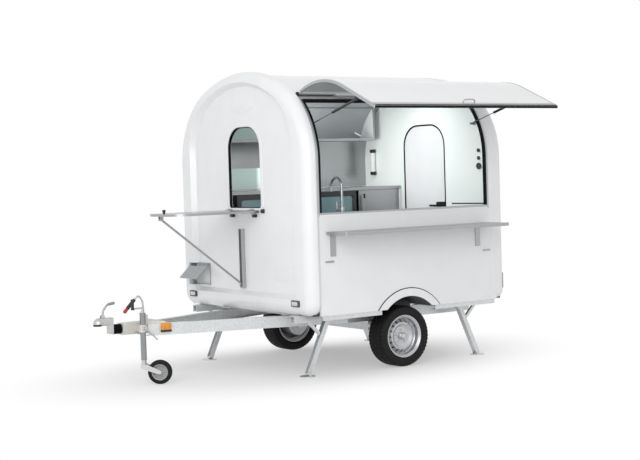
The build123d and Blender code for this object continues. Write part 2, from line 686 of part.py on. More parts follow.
# Power inlet box and its flap, which stands open.
BOX_DEPTH = 120
INLET_SKIN = 4
FLAP_AXIS_X = FRONT_PANEL - 12
inlet_box = block(
    FRONT_PANEL - 5, FRONT_PANEL + BOX_DEPTH, INLET_Y0 + 1, INLET_Y1 - 1, INLET_Z0 + 1, INLET_Z1 - 1
)
inlet_box -= block(
    FRONT_PANEL - 6,
    FRONT_PANEL + BOX_DEPTH - INLET_SKIN,
    INLET_Y0 + 1 + INLET_SKIN,
    INLET_Y1 - 1 - INLET_SKIN,
    INLET_Z0 + 1 + INLET_SKIN,
    INLET_Z1 - 1 - INLET_SKIN,
)
FLAP_AXIS_Z = INLET_Z1 - 6
inlet_mid = (INLET_Y0 + INLET_Y1) / 2
inlet_mid_z = (INLET_Z0 + INLET_Z1) / 2
for y in (INLET_Y0 + 6, INLET_Y1 - 14):
    inlet_box += block(FLAP_AXIS_X, FRONT_PANEL - 3, y, y + 8, FLAP_AXIS_Z - 5, FLAP_AXIS_Z + 5)
inlet_box += rod_y(FLAP_AXIS_X, FLAP_AXIS_Z, INLET_Y0 + 6, INLET_Y1 - 6, 3)
for y in (inlet_mid - 60, inlet_mid + 60):
    socket_x0 = FRONT_PANEL + 80
    socket_x1 = FRONT_PANEL + BOX_DEPTH - 2
    inlet_box += rod((socket_x0, y, inlet_mid_z), (socket_x1, y, inlet_mid_z), 34, 26)
nodes["inlet_box"] = inlet_box

flap_height = INLET_Z1 - INLET_Z0 - 10
flap_low = FLAP_AXIS_Z - flap_height
flap = block(FLAP_AXIS_X - 4, FLAP_AXIS_X, INLET_Y0 + 2, INLET_Y1 - 2, flap_low, FLAP_AXIS_Z)
flap += rod_y(FLAP_AXIS_X, FLAP_AXIS_Z, INLET_Y0 + 20, INLET_Y1 - 20, 6)
flap -= rod_y(FLAP_AXIS_X, FLAP_AXIS_Z, INLET_Y0 - 10, INLET_Y1 + 10, 3 + RUN_GAP)
for y in (INLET_Y0 - 1, INLET_Y1 - 20):
    flap -= block(FLAP_AXIS_X - 12, FLAP_AXIS_X + 12, y, y + 21, FLAP_AXIS_Z - 12, FLAP_AXIS_Z + 12)
turn = Pos(FLAP_AXIS_X, 0, FLAP_AXIS_Z) * Rot(0, FLAP_OPEN_DEG, 0) * Pos(-FLAP_AXIS_X, 0, -FLAP_AXIS_Z)
nodes["inlet_flap"] = turn * flap

# Entrance door at the rear, hinged on the far side, with a lever handle.
DOOR_AXIS_X = REAR_PANEL + 10
DOOR_AXIS_Y = DOOR_Y1 - 2
leaf_face = opening_face(
    DOOR_Y0 + DOOR_GAP,
    DOOR_Y1 - DOOR_GAP,
    FLOOR_TOP + DOOR_GAP,
    DOOR_Z1 - DOOR_GAP,
    WINDOW_RADIUS - DOOR_GAP,
    10,
)
leaf = along_x(leaf_face, REAR_INNER, REAR_PANEL)
hinge_low = FLOOR_TOP + DOOR_HINGE_IN
hinge_high = DOOR_Z1 - DOOR_HINGE_IN
hinge_heights = (hinge_low, (hinge_low + hinge_high) / 2, hinge_high)
rear_cap = nodes["rear_cap"]
for z in hinge_heights:
    barrel = rod((DOOR_AXIS_X, DOOR_AXIS_Y, z - 24), (DOOR_AXIS_X, DOOR_AXIS_Y, z + 24), 8)
    barrel += block(REAR_PANEL - 2, DOOR_AXIS_X, DOOR_AXIS_Y - 50, DOOR_AXIS_Y - 3, z - 24, z + 24)
    barrel -= rod(
        (DOOR_AXIS_X, DOOR_AXIS_Y, z - 30), (DOOR_AXIS_X, DOOR_AXIS_Y, z + 30), PIVOT_PIN + RUN_GAP
    )
    barrel -= block(REAR_INNER, REAR_PANEL, DOOR_AXIS_Y - 2, DOOR_AXIS_Y + 20, z - 30, z + 30)
    leaf += barrel
    for low in (z - 50, z + 25):
        fixed = rod((DOOR_AXIS_X, DOOR_AXIS_Y, low), (DOOR_AXIS_X, DOOR_AXIS_Y, low + 25), 8)
        fixed += block(REAR_PANEL - 1, DOOR_AXIS_X, DOOR_AXIS_Y + 3, DOOR_AXIS_Y + 45, low, low + 25)
        rear_cap += fixed
    rear_cap += rod((DOOR_AXIS_X, DOOR_AXIS_Y, z - 50), (DOOR_AXIS_X, DOOR_AXIS_Y, z + 50), PIVOT_PIN)
nodes["rear_cap"] = rear_cap
HANDLE_Y = DOOR_Y0 + 62
HANDLE_Z = 1345
HANDLE_PIN = 9
handle_bore = rod(
    (REAR_INNER - 1, HANDLE_Y, HANDLE_Z), (REAR_PANEL + 30, HANDLE_Y, HANDLE_Z), HANDLE_PIN + RUN_GAP
)
leaf += block(REAR_PANEL - 1, REAR_PANEL + 8, HANDLE_Y - 22, HANDLE_Y + 22, HANDLE_Z - 80, HANDLE_Z + 50)
nodes["entrance_door"] = leaf - handle_bore
handle = rod((REAR_INNER - 40, HANDLE_Y, HANDLE_Z), (REAR_PANEL + 40, HANDLE_Y, HANDLE_Z), HANDLE_PIN)
for x0, x1 in ((REAR_PANEL + 30, REAR_PANEL + 46), (REAR_INNER - 46, REAR_INNER - 30)):
    handle += block(x0, x1, HANDLE_Y - 9, HANDLE_Y + 120, HANDLE_Z - 9, HANDLE_Z + 9)
nodes["door_handle"] = handle


# Drawbar: two channel arms that meet the overrun housing, bend under the body and run to the rear.
def channel_face(width, height, skin):
    """A channel section with its web at the outer side, its open side towards the middle."""
    web = Pos(-width / 2, 0) * Rectangle(width, height)
    pocket = Pos(-width / 2 - skin, 0) * Rectangle(width, height - 2 * skin)
    return web - pocket


DRAWBAR_SLOPE = tan(radians(DRAWBAR_DEG))
drawbar_mid = (DRAWBAR_TOP + DRAWBAR_LOW) / 2
tip_y = DRAWBAR_TIP_Y + DRAWBAR_WIDTH / 2
bend_y = tip_y + (BEND_X - DRAWBAR_TIP_X) * DRAWBAR_SLOPE


def drawbar_plan(inset, grow):
    """The plan of one arm on the far side, from its outer face inwards."""
    width = DRAWBAR_WIDTH + grow
    shift = inset / cos(radians(DRAWBAR_DEG))
    depth = width / cos(radians(DRAWBAR_DEG))
    return polygon(
        (DRAWBAR_TIP_X, tip_y - shift),
        (BEND_X, bend_y - shift),
        (CHASSIS_REAR, bend_y - inset),
        (CHASSIS_REAR, bend_y - inset - width),
        (BEND_X, bend_y - shift - depth),
        (DRAWBAR_TIP_X, tip_y - shift - depth),
    )


drawbar_solid = along_z(drawbar_plan(0, 0), DRAWBAR_LOW, DRAWBAR_TOP)
drawbar_arm = drawbar_solid - along_z(
    drawbar_plan(DRAWBAR_SKIN, 20), DRAWBAR_LOW + DRAWBAR_SKIN, DRAWBAR_TOP - DRAWBAR_SKIN
)
nodes["drawbar_arms"] = pair(far_side(drawbar_arm))

# Side rails, broken at the wheels, and cross members that lie on the arms and carry the floor.
members = []
rail_z0 = BODY_BOTTOM - RAIL_HEIGHT
arch_half = sqrt(WHEEL_ARCH**2 - (rail_z0 - AXLE_Z) ** 2) + 3
for x0, x1 in ((FRONT_SEAM + 20, -arch_half), (arch_half, CHASSIS_REAR)):
    rail = along_x(channel_face(RAIL_WIDTH, RAIL_HEIGHT, 4), x0, x1)
    members.append(pair(far_side(Pos(0, RAIL_OUTER_Y, BODY_BOTTOM - RAIL_HEIGHT / 2) * rail)))
cross_y = RAIL_OUTER_Y - RAIL_WIDTH
inner_y = STEADY_Y - 60
inner_members = [(x, inner_y) for x in (MEMBER_FRONT, MEMBER_REAR)]
outer_members = [(x, cross_y) for x in (-MEMBER_STEADY, -MEMBER_AXLE, MEMBER_AXLE, MEMBER_STEADY)]
for x, reach in inner_members + outer_members:
    member = block(x - MEMBER_WIDTH / 2, x + MEMBER_WIDTH / 2, -reach, reach, DRAWBAR_TOP, BODY_BOTTOM)
    members.append(member)
nodes["chassis_frame"] = group(*members)

# Axle beam, swing arms, wheels and tyres.
PIVOT_RADIUS = 29
AXLE_TOP = DRAWBAR_LOW
beam_z = AXLE_TOP - AXLE_BEAM / 2
beam_half = AXLE_BEAM / 2
beam = block(
    AXLE_BEAM_X - beam_half,
    AXLE_BEAM_X + beam_half,
    -GUARD_Y + ARM_THICK + 4,
    GUARD_Y - ARM_THICK - 4,
    AXLE_TOP - AXLE_BEAM,
    AXLE_TOP,
)
beam -= rod_y(AXLE_BEAM_X, beam_z, -HALF, HALF, PIVOT_RADIUS + RUN_GAP)
nodes["axle_beam"] = beam

arm_y1 = GUARD_Y - 2
arm_y0 = arm_y1 - ARM_THICK
DRUM_IN = -WHEEL_Y + arm_y1 + 8
arm_angle = atan2(AXLE_Z - beam_z, -AXLE_BEAM_X)
arm_length = hypot(AXLE_Z - beam_z, AXLE_BEAM_X)
arm_plate = along_y(SlotCenterToCenter(arm_length, 84), arm_y0, arm_y1)
arm_mid = Pos(AXLE_BEAM_X / 2, 0, (AXLE_Z + beam_z) / 2)
swing_arm = arm_mid * Rot(0, -degrees(arm_angle), 0) * arm_plate
swing_arm += rod_y(AXLE_BEAM_X, beam_z, arm_y0 - 120, arm_y0 + 1, PIVOT_RADIUS)
MOUNT_FACE = 32
swing_arm += rod_y(0, AXLE_Z, arm_y1 - 1, WHEEL_Y + MOUNT_FACE - 6, SPINDLE)
nodes["swing_arm_far"] = swing_arm
nodes["swing_arm_near"] = far_side(swing_arm)

rim_profile = polygon(
    (RIM_FLANGE, -RIM_HALF),
    (RIM_FLANGE, -RIM_HALF + 6),
    (RIM_SEAT + 2, -RIM_HALF + 8),
    (RIM_SEAT, -50),
    (RIM_SEAT - 15, -38),
    (RIM_SEAT - 15, 14),
    (RIM_SEAT, 28),
    (RIM_SEAT + 2, RIM_HALF - 8),
    (RIM_FLANGE, RIM_HALF - 6),
    (RIM_FLANGE, RIM_HALF),
    (RIM_FLANGE - 5, RIM_HALF),
    (RIM_SEAT - 4, RIM_HALF - 14),
    (RIM_SEAT - 5, 30),
    (RIM_SEAT - 20, 16),
    (RIM_SEAT - 20, -40),
    (RIM_SEAT - 5, -52),
    (RIM_SEAT - 4, -RIM_HALF + 14),
    (RIM_FLANGE - 5, -RIM_HALF),
)
HUB_HOLE = 32
disc_profile = polygon(
    (RIM_SEAT - 17, 12),
    (120, 52),
    (108, 56),
    (84, 40),
    (78, MOUNT_FACE + 6),
    (HUB_HOLE, MOUNT_FACE + 6),
    (HUB_HOLE, MOUNT_FACE),
    (82, MOUNT_FACE),
    (106, 49),
    (116, 45),
    (RIM_SEAT - 19, 2),
)
rim = revolve(rim_profile, Axis.Y) + revolve(disc_profile, Axis.Y)
vents = PolarLocations(132, RIM_VENTS)
rim -= Plane.XZ.offset(-120) * vents * extrude(SlotOverall(30, 17), 110)
drum_profile = polygon(
    (SPINDLE + RUN_GAP, DRUM_IN),
    (112, DRUM_IN),
    (112, MOUNT_FACE - 20),
    (78, MOUNT_FACE),
    (HUB_HOLE - 1, MOUNT_FACE),
    (HUB_HOLE - 1, MOUNT_FACE + 26),
    (HUB_HOLE - 8, MOUNT_FACE + 32),
    (0, MOUNT_FACE + 32),
    (0, MOUNT_FACE),
    (SPINDLE + RUN_GAP, MOUNT_FACE),
)
drum = revolve(drum_profile, Axis.Y)
hub_place = Pos(0, WHEEL_Y, AXLE_Z)
nodes["rim_far"] = hub_place * group(rim, drum)
nodes["rim_near"] = far_side(nodes["rim_far"])

BEAD = RIM_SEAT + 2.5
FLANGE_GAP = RIM_FLANGE + 1
tyre_profile = outline(
    Line((BEAD, RIM_HALF - 9), (BEAD, RIM_HALF - 28)),
    Line((BEAD, RIM_HALF - 28), (205, TYRE_HALF - 11)),
    Line((205, TYRE_HALF - 11), (248, TYRE_HALF - 22)),
    Line((248, TYRE_HALF - 22), (248, 22 - TYRE_HALF)),
    Line((248, 22 - TYRE_HALF), (205, 11 - TYRE_HALF)),
    Line((205, 11 - TYRE_HALF), (BEAD, 28 - RIM_HALF)),
    Line((BEAD, 28 - RIM_HALF), (BEAD, 9 - RIM_HALF)),
    Line((BEAD, 9 - RIM_HALF), (FLANGE_GAP, 7 - RIM_HALF)),
    ThreePointArc((FLANGE_GAP, 7 - RIM_HALF), (220, -TYRE_HALF), (252, 10 - TYRE_HALF)),
    Line((252, 10 - TYRE_HALF), (WHEEL_RADIUS, 25 - TYRE_HALF)),
    Line((WHEEL_RADIUS, 25 - TYRE_HALF), (WHEEL_RADIUS, TYRE_HALF - 25)),
    Line((WHEEL_RADIUS, TYRE_HALF - 25), (252, TYRE_HALF - 10)),
    ThreePointArc((252, TYRE_HALF - 10), (220, TYRE_HALF), (FLANGE_GAP, RIM_HALF - 7)),
    Line((FLANGE_GAP, RIM_HALF - 7), (BEAD, RIM_HALF - 9)),
)
nodes["tyre_far"] = hub_place * revolve(tyre_profile, Axis.Y)
nodes["tyre_near"] = far_side(nodes["tyre_far"])

# Mudguards: an arch over each tyre, an inner cheek, and the trim ring on the wall.
GUARD_FIT = 0.5
guard_out = WHEEL_ARCH - GUARD_FIT
guard_in = guard_out - GUARD_THICK
guard = rod_y(0, AXLE_Z, -HALF - 8, -GUARD_Y, guard_out, guard_in)
guard += rod_y(0, AXLE_Z, -GUARD_Y - GUARD_THICK, -GUARD_Y, guard_out)
guard += rod_y(0, AXLE_Z, -HALF - 8, -HALF, ARCH_TRIM, guard_in)
guard -= block(-ARCH_TRIM - 20, ARCH_TRIM + 20, -HALF - 20, -GUARD_Y + 20, -ARCH_TRIM, BODY_BOTTOM)
nodes["mudguards"] = pair(guard)


# Corner steadies: brackets under the floor, legs with feet, and folding braces.
def steady_piece(end, side, shape):
    """Places a piece drawn for the rear near corner at any of the four corners."""
    placed = shape if end > 0 else mirror(shape, about=Plane.YZ)
    return placed if side < 0 else far_side(placed)


leg_dx = STEADY_REACH
leg_dz = STEADY_FOOT_Z - STEADY_PIVOT_Z
LEG_LENGTH = hypot(leg_dx, leg_dz)
LEG_ANGLE = atan2(leg_dz, leg_dx)
BRACE_LOW_X = STEADY_PIVOT_X + BRACE_ON_LEG * cos(LEG_ANGLE)
BRACE_LOW_Z = STEADY_PIVOT_Z + BRACE_ON_LEG * sin(LEG_ANGLE)
BRACE_LENGTH = hypot(BRACE_TOP_X - BRACE_LOW_X, BRACE_TOP_Z - BRACE_LOW_Z)
folded = LEG_ANGLE + radians(STEADY_FOLD_DEG)
fold_x = STEADY_PIVOT_X + BRACE_ON_LEG * cos(folded)
fold_z = STEADY_PIVOT_Z + BRACE_ON_LEG * sin(folded)
BRACE_FOLD_X = fold_x + sqrt(BRACE_LENGTH**2 - (BRACE_TOP_Z - fold_z) ** 2)
brace_start = atan2(BRACE_TOP_Z - BRACE_LOW_Z, BRACE_TOP_X - BRACE_LOW_X)
brace_turn = atan2(BRACE_TOP_Z - fold_z, BRACE_FOLD_X - fold_x) - brace_start
BRACE_RATIO = brace_turn / radians(STEADY_FOLD_DEG) - 1

STEADY_PIN = 8
leg_in = -STEADY_Y - STEADY_WIDTH / 2
leg_out = -STEADY_Y + STEADY_WIDTH / 2
ear_gap = 1
bracket = None
for y0, y1 in ((leg_in - ear_gap - 6, leg_in - ear_gap), (leg_out + ear_gap, leg_out + ear_gap + 6)):
    ear = block(STEADY_PIVOT_X - 30, STEADY_PIVOT_X + 30, y0, y1, STEADY_PIVOT_Z - 24, BODY_BOTTOM)
    ear += block(STEADY_PIVOT_X - 30, BRACE_FOLD_X + 16, y0, y1, BRACE_TOP_Z - 14, BODY_BOTTOM)
    bracket = ear if bracket is None else bracket + ear
bracket += block(
    STEADY_PIVOT_X + 40, BRACE_FOLD_X + 16, leg_in - 7, leg_out + 7, BODY_BOTTOM - 5, BODY_BOTTOM
)
bracket += rod_y(STEADY_PIVOT_X, STEADY_PIVOT_Z, leg_in - 4, leg_out + 4, STEADY_PIN)
leg_mid = Pos(STEADY_PIVOT_X + leg_dx / 2, 0, STEADY_PIVOT_Z + leg_dz / 2)
leg_turn = Rot(0, -degrees(LEG_ANGLE), 0)
leg = leg_mid * leg_turn * Pos(0, -STEADY_Y, 0) * Box(LEG_LENGTH, STEADY_WIDTH, 40)
leg += rod_y(STEADY_PIVOT_X, STEADY_PIVOT_Z, leg_in, leg_out, 20)
slot = leg_mid * leg_turn * Pos(-10, -STEADY_Y, 6) * Box(LEG_LENGTH, STEADY_WIDTH - 10, 40)
leg -= slot
leg -= rod_y(STEADY_PIVOT_X, STEADY_PIVOT_Z, leg_in - 1, leg_out + 1, STEADY_PIN + RUN_GAP)
leg -= block(STEADY_PIVOT_X - 200, STEADY_PIVOT_X + 800, leg_in - 80, leg_out + 80, -100, 4)
pad_x = STEADY_PIVOT_X + STEADY_REACH + 4
leg += Pos(pad_x, -STEADY_Y, 0) * Cylinder(STEADY_PAD, 8, align=(Align.CENTER, Align.CENTER, Align.MIN))
leg += rod_y(BRACE_LOW_X, BRACE_LOW_Z, leg_in, leg_out, STEADY_PIN - 2)
brace_half = BRACE_WIDTH / 2
brace = along_y(SlotCenterToCenter(BRACE_LENGTH, 24), -STEADY_Y - brace_half, -STEADY_Y + brace_half)
brace_mid = Pos((BRACE_LOW_X + BRACE_TOP_X) / 2, 0, (BRACE_LOW_Z + BRACE_TOP_Z) / 2)
brace = brace_mid * Rot(0, -degrees(brace_start), 0) * brace
brace += rod_y(BRACE_TOP_X, BRACE_TOP_Z, leg_in + 4, leg_out - 4, 9)
brace -= rod_y(BRACE_LOW_X, BRACE_LOW_Z, leg_in - 1, leg_out + 1, STEADY_PIN - 2 + RUN_GAP)
brackets = []
corners = (("front_near", -1, -1), ("front_far", -1, 1), ("rear_near", 1, -1), ("rear_far", 1, 1))
for name, end, side in corners:
    brackets.append(steady_piece(end, side, bracket))
    nodes["steady_leg_" + name] = steady_piece(end, side, leg)
    nodes["steady_brace_" + name] = steady_piece(end, side, brace)
nodes["steady_mounts"] = group(*brackets)

# Overrun housing between the arms, with the lever's bearing on top.
housing_face = polygon(
    (HOUSING_FRONT, -48),
    (DRAWBAR_TIP_X, -58),
    (DRAWBAR_TIP_X + 150, -140),
    (DRAWBAR_TIP_X + 150, 140),
    (DRAWBAR_TIP_X, 58),
    (HOUSING_FRONT, 48),
)
housing = along_z(housing_face, DRAWBAR_LOW + 20, DRAWBAR_TOP + 18)
housing -= drawbar_solid + far_side(drawbar_solid)
TUBE_IN = HOUSING_FRONT + 150
tube_end = TUBE_IN + OVERRUN_TRAVEL + 10
tube_bore = rod((HOUSING_FRONT - 1, 0, TUBE_Z), (tube_end, 0, TUBE_Z), TUBE_RADIUS + RUN_GAP)
housing -= tube_bore
LEVER_PIN = 8
for y0, y1 in ((LEVER_Y - 20, LEVER_Y - 10), (LEVER_Y + 10, LEVER_Y + 20)):
    housing += block(LEVER_PIVOT_X - 26, LEVER_PIVOT_X + 26, y0, y1, DRAWBAR_TOP, LEVER_PIVOT_Z + 14)
housing += rod_y(LEVER_PIVOT_X, LEVER_PIVOT_Z, LEVER_Y - 20, LEVER_Y + 20, LEVER_PIN)
nodes["overrun_housing"] = housing

# Coupling: pressed head with the ball socket, on its draw tube; the lifting handle; the bellows.
HEAD_REAR = -2318
HEAD_TOP = 562
neck = block(BALL_X, HEAD_REAR, -36, 36, BALL_Z - 6, HEAD_TOP)
neck = fillet(neck.edges().filter_by(Axis.X), 14)
head = neck + Pos(BALL_X, 0, BALL_Z + 14) * Sphere(BALL_RADIUS + 17)
head -= block(COUPLING_TIP - 50, BALL_X + 60, -60, 60, BALL_Z - 80, BALL_Z - 6)
head += block(HEAD_REAR - 30, HEAD_REAR, -34, 34, TUBE_Z - 34, BALL_Z + 10)
head -= Pos(BALL_X, 0, BALL_Z) * Sphere(BALL_RADIUS + 1)
head -= rod((BALL_X, 0, BALL_Z - 20), (BALL_X, 0, BALL_Z), BALL_RADIUS + 1)
HANDLE_PIVOT_X = -2400
HANDLE_PIVOT_Z = 574
for y0, y1 in ((-18, -10), (10, 18)):
    head += block(HANDLE_PIVOT_X - 14, HANDLE_PIVOT_X + 14, y0, y1, HEAD_TOP - 6, HANDLE_PIVOT_Z + 10)
head += rod_y(HANDLE_PIVOT_X, HANDLE_PIVOT_Z, -18, 18, PIVOT_PIN)
draw_tube = rod((HEAD_REAR, 0, TUBE_Z), (TUBE_IN, 0, TUBE_Z), TUBE_RADIUS)
nodes["coupling_head"] = group(head, draw_tube)

LOOP_ROD = 8
loop = [(HANDLE_PIVOT_X, HANDLE_PIVOT_Z), (-2392, 622), (-2352, 668), (-2296, 676)]
coupling_handle = rod_y(HANDLE_PIVOT_X, HANDLE_PIVOT_Z, -9, 9, 10)
coupling_handle += bent_rod(loop, 0, 30, LOOP_ROD)
coupling_handle += rod((-2340, 0, 669.7), (-2290, 0, 676.9), 12)
coupling_handle -= rod_y(HANDLE_PIVOT_X, HANDLE_PIVOT_Z, -20, 20, PIVOT_PIN + RUN_GAP)
nodes["coupling_handle"] = coupling_handle

BELLOWS_BORE = TUBE_RADIUS + 1
bellows_x0 = HEAD_REAR + 0.5
bellows_x1 = HOUSING_FRONT - 0.5
pitch = (bellows_x1 - bellows_x0) / BELLOWS_RIBS
rings = []
for index in range(BELLOWS_RIBS):
    start = bellows_x0 + index * pitch
    for share, radius in ((0, 0.74), (0.3, 1.0), (0.7, 1.0), (0.98, 0.74)):
        ring = Pos(0, TUBE_Z) * Circle(BELLOWS_RADIUS * radius)
        rings.append(Plane.YZ.offset(start + share * pitch) * ring)
bellows = loft(rings, ruled=True)
nodes["bellows"] = bellows - rod((bellows_x0 - 1, 0, TUBE_Z), (bellows_x1 + 1, 0, TUBE_Z), BELLOWS_BORE)

# Handbrake lever with its grip and release button.
LEVER_ROD = 8
GRIP_START = (-2082, 686)
GRIP_END = (-2152, 614)
bend = [(LEVER_PIVOT_X - 1, LEVER_PIVOT_Z + 14), (-2008, 664), (-2044, 725), GRIP_START]
lever = rod_y(LEVER_PIVOT_X, LEVER_PIVOT_Z, LEVER_Y - 9, LEVER_Y + 9, 20)
lever += bent_rod(bend, LEVER_Y, 24, LEVER_ROD)
lever -= rod_y(LEVER_PIVOT_X, LEVER_PIVOT_Z, LEVER_Y - 30, LEVER_Y + 30, LEVER_PIN + RUN_GAP)
grip_dx = GRIP_END[0] - GRIP_START[0]
grip_dz = GRIP_END[1] - GRIP_START[1]
grip_length = hypot(grip_dx, grip_dz)
GRIP_DIR = (grip_dx / grip_length, 0, grip_dz / grip_length)


def on_grip(distance):
    return (GRIP_START[0] + GRIP_DIR[0] * distance, LEVER_Y, GRIP_START[1] + GRIP_DIR[2] * distance)


BUTTON_TRAVEL = 8
BUTTON = 12
lever -= rod(on_grip(0), on_grip(60), 30)
nodes["handbrake_lever"] = lever
grip = rod(on_grip(0), on_grip(grip_length), 16)
grip -= rod(on_grip(grip_length - 30), on_grip(grip_length + 1), BUTTON + 0.3)
nodes["handbrake_grip"] = grip
button = rod(on_grip(grip_length - 30 + BUTTON_TRAVEL + 1), on_grip(grip_length + 34), BUTTON)
button += rod(on_grip(grip_length + BUTTON_TRAVEL + 1), on_grip(grip_length + 44), 15)
nodes["release_button"] = button

# Jockey wheel: clamp on the housing, tube, crank, fork and wheel.
TUBE_TOP = 578
TUBE_LOW = 202
CLAMP_Z = 462


def upright(z0, z1, radius, bore=0):
    return rod((JOCKEY_X, JOCKEY_Y, z0), (JOCKEY_X, JOCKEY_Y, z1), radius, bore)


clamp = upright(CLAMP_Z - 30, CLAMP_Z + 30, JOCKEY_TUBE + 12)
clamp += block(JOCKEY_X - 26, JOCKEY_X + 26, JOCKEY_Y, -30, CLAMP_Z - 26, CLAMP_Z + 26)
clamp += block(JOCKEY_X - 20, JOCKEY_X + 20, JOCKEY_Y - 42, JOCKEY_Y, CLAMP_Z - 20, CLAMP_Z + 20)
clamp -= upright(CLAMP_Z - 60, CLAMP_Z + 60, JOCKEY_TUBE + 0.3)
clamp -= along_z(housing_face, DRAWBAR_LOW, DRAWBAR_TOP + 40)
BOLT = 6
HANDLE_FACE = JOCKEY_Y - 42
clamp -= rod_y(JOCKEY_X, CLAMP_Z, HANDLE_FACE - 1, HANDLE_FACE + 14, BOLT + RUN_GAP)
nodes["jockey_clamp"] = clamp
bar_y = HANDLE_FACE - 10
bar_end = (JOCKEY_X + 98, bar_y, CLAMP_Z - 92)
clamp_handle = rod_y(JOCKEY_X, CLAMP_Z, bar_y, HANDLE_FACE + 13, BOLT)
clamp_handle += rod_y(JOCKEY_X, CLAMP_Z, bar_y - 9, HANDLE_FACE - 0.5, 11)
clamp_handle += rod((JOCKEY_X, bar_y, CLAMP_Z), bar_end, 6)
clamp_handle += Pos(*bar_end) * Sphere(9)
nodes["clamp_handle"] = clamp_handle

INNER_TUBE = 20
tube = upright(TUBE_LOW, TUBE_TOP, JOCKEY_TUBE, INNER_TUBE + RUN_GAP)
tube += upright(TUBE_TOP, TUBE_TOP + 10, JOCKEY_TUBE + 2)
CRANK_ROD = 7
tube -= upright(TUBE_TOP - 5, TUBE_TOP + 11, CRANK_ROD + RUN_GAP)
nodes["jockey_tube"] = tube

CRANK_Z = 628
CRANK_REACH = 88
crank = upright(TUBE_TOP - 18, CRANK_Z, CRANK_ROD)
crank += upright(TUBE_TOP + 10.5, TUBE_TOP + 24, 16)
crank += Pos(JOCKEY_X, JOCKEY_Y, CRANK_Z) * Sphere(CRANK_ROD)
crank += rod((JOCKEY_X, JOCKEY_Y, CRANK_Z), (JOCKEY_X - CRANK_REACH, JOCKEY_Y, CRANK_Z), CRANK_ROD)
crank += rod((JOCKEY_X - CRANK_REACH, JOCKEY_Y, CRANK_Z - 8), (JOCKEY_X - CRANK_REACH, JOCKEY_Y, 706), 12)
nodes["jockey_crank"] = crank

# The fork and wheel are drawn trailing along X, then turned about the tube.
CROWN_TOP = 168
FORK_HALF = 34
trail = Pos(JOCKEY_X, JOCKEY_Y, 0) * Rot(0, 0, JOCKEY_TURN_DEG)
fork = rod((0, 0, CROWN_TOP - 14), (0, 0, TUBE_TOP - 40), INNER_TUBE)
fork += block(-24, 22, -FORK_HALF - 5, FORK_HALF + 5, CROWN_TOP - 18, CROWN_TOP)
fork_face = polygon(
    (-24, CROWN_TOP), (22, CROWN_TOP),
    (JOCKEY_TRAIL + 14, JOCKEY_WHEEL + 12), (JOCKEY_TRAIL + 14, JOCKEY_WHEEL - 14),
    (JOCKEY_TRAIL - 14, JOCKEY_WHEEL - 14), (-24, CROWN_TOP - 30),
)
for y0, y1 in ((-FORK_HALF - 5, -FORK_HALF), (FORK_HALF, FORK_HALF + 5)):
    fork += along_y(fork_face, y0, y1)
fork += rod_y(JOCKEY_TRAIL, JOCKEY_WHEEL, -FORK_HALF - 5, FORK_HALF + 5, BOLT)
nodes["jockey_fork"] = trail * fork
rim_ring = polygon(
    (BOLT + RUN_GAP, -31), (16, -31), (18, -8), (58, -8), (60, -26), (66, -26),
    (66, 26), (60, 26), (58, 8), (18, 8),
    (16, 31), (BOLT + RUN_GAP, 31),
)
tyre_ring = polygon(
    (66, -28), (84, -30), (95, -22), (JOCKEY_WHEEL, -10), (JOCKEY_WHEEL, 10), (95, 22), (84, 30), (66, 28)
)
castor = group(revolve(rim_ring, Axis.Y), revolve(tyre_ring, Axis.Y))
nodes["jockey_wheel"] = trail * Pos(JOCKEY_TRAIL, 0, JOCKEY_WHEEL) * castor

# Lamps: white at the front corners, amber on the drawbar arms, red at the rear corners.
front_lamp_y = FRONT_LAMP_IN - HALF
front_lamp = block(
    BODY_FRONT - LAMP_OUT,
    BODY_FRONT + EDGE_RADIUS / 2,
    front_lamp_y - LAMP_HALF,
    front_lamp_y + LAMP_HALF,
    LAMP_Z - LAMP_TALL / 2,
    LAMP_Z + LAMP_TALL / 2,
)
front_lamp -= nodes["front_cap"]
amber_y = tip_y + (SIDE_LAMP_X - DRAWBAR_TIP_X) * DRAWBAR_SLOPE
amber_turn = Pos(SIDE_LAMP_X, amber_y, SIDE_LAMP_Z) * Rot(0, 0, DRAWBAR_DEG)
amber_box = Pos(0, SIDE_LAMP_OUT / 2, 0) * Box(SIDE_LAMP_LONG, SIDE_LAMP_OUT, SIDE_LAMP_TALL)
amber_lamp = far_side(amber_turn * amber_box)
tail_lamp_y = TAIL_LAMP_IN - HALF
tail_lamp = block(
    BODY_REAR - EDGE_RADIUS / 2,
    BODY_REAR + TAIL_OUT,
    tail_lamp_y - LAMP_HALF,
    tail_lamp_y + LAMP_HALF,
    LAMP_Z - LAMP_TALL / 2,
    LAMP_Z + TAIL_RISE,
)
tail_lamp -= nodes["rear_cap"]
nodes["marker_lamps"] = group(pair(front_lamp), pair(amber_lamp), pair(tail_lamp))

# Near counter with its sink, and the tap.
SHEET = 3
counter_x0 = FRONT_SEAM + 40
counter_x1 = REAR_SEAM - 20
counter = block(counter_x0, counter_x1, -INNER_Y + 1, COUNTER_EDGE_Y, COUNTER_TOP - 30, COUNTER_TOP)
counter -= block(SINK_X0, SINK_X1, SINK_Y0, SINK_Y1, COUNTER_TOP - 40, COUNTER_TOP + 1)
bowl = block(
    SINK_X0 - SHEET,
    SINK_X1 + SHEET,
    SINK_Y0 - SHEET,
    SINK_Y1 + SHEET,
    COUNTER_TOP - SINK_DEPTH,
    COUNTER_TOP - 20,
)
bowl -= block(SINK_X0, SINK_X1, SINK_Y0, SINK_Y1, COUNTER_TOP - SINK_DEPTH + SHEET, COUNTER_TOP)
bowl -= Pos((SINK_X0 + SINK_X1) / 2, (SINK_Y0 + SINK_Y1) / 2, COUNTER_TOP - SINK_DEPTH) * Cylinder(25, 20)
counter += bowl
counter += block(
    counter_x0, counter_x1, COUNTER_EDGE_Y - 30, COUNTER_EDGE_Y - 12, FLOOR_TOP, COUNTER_TOP - 20
)
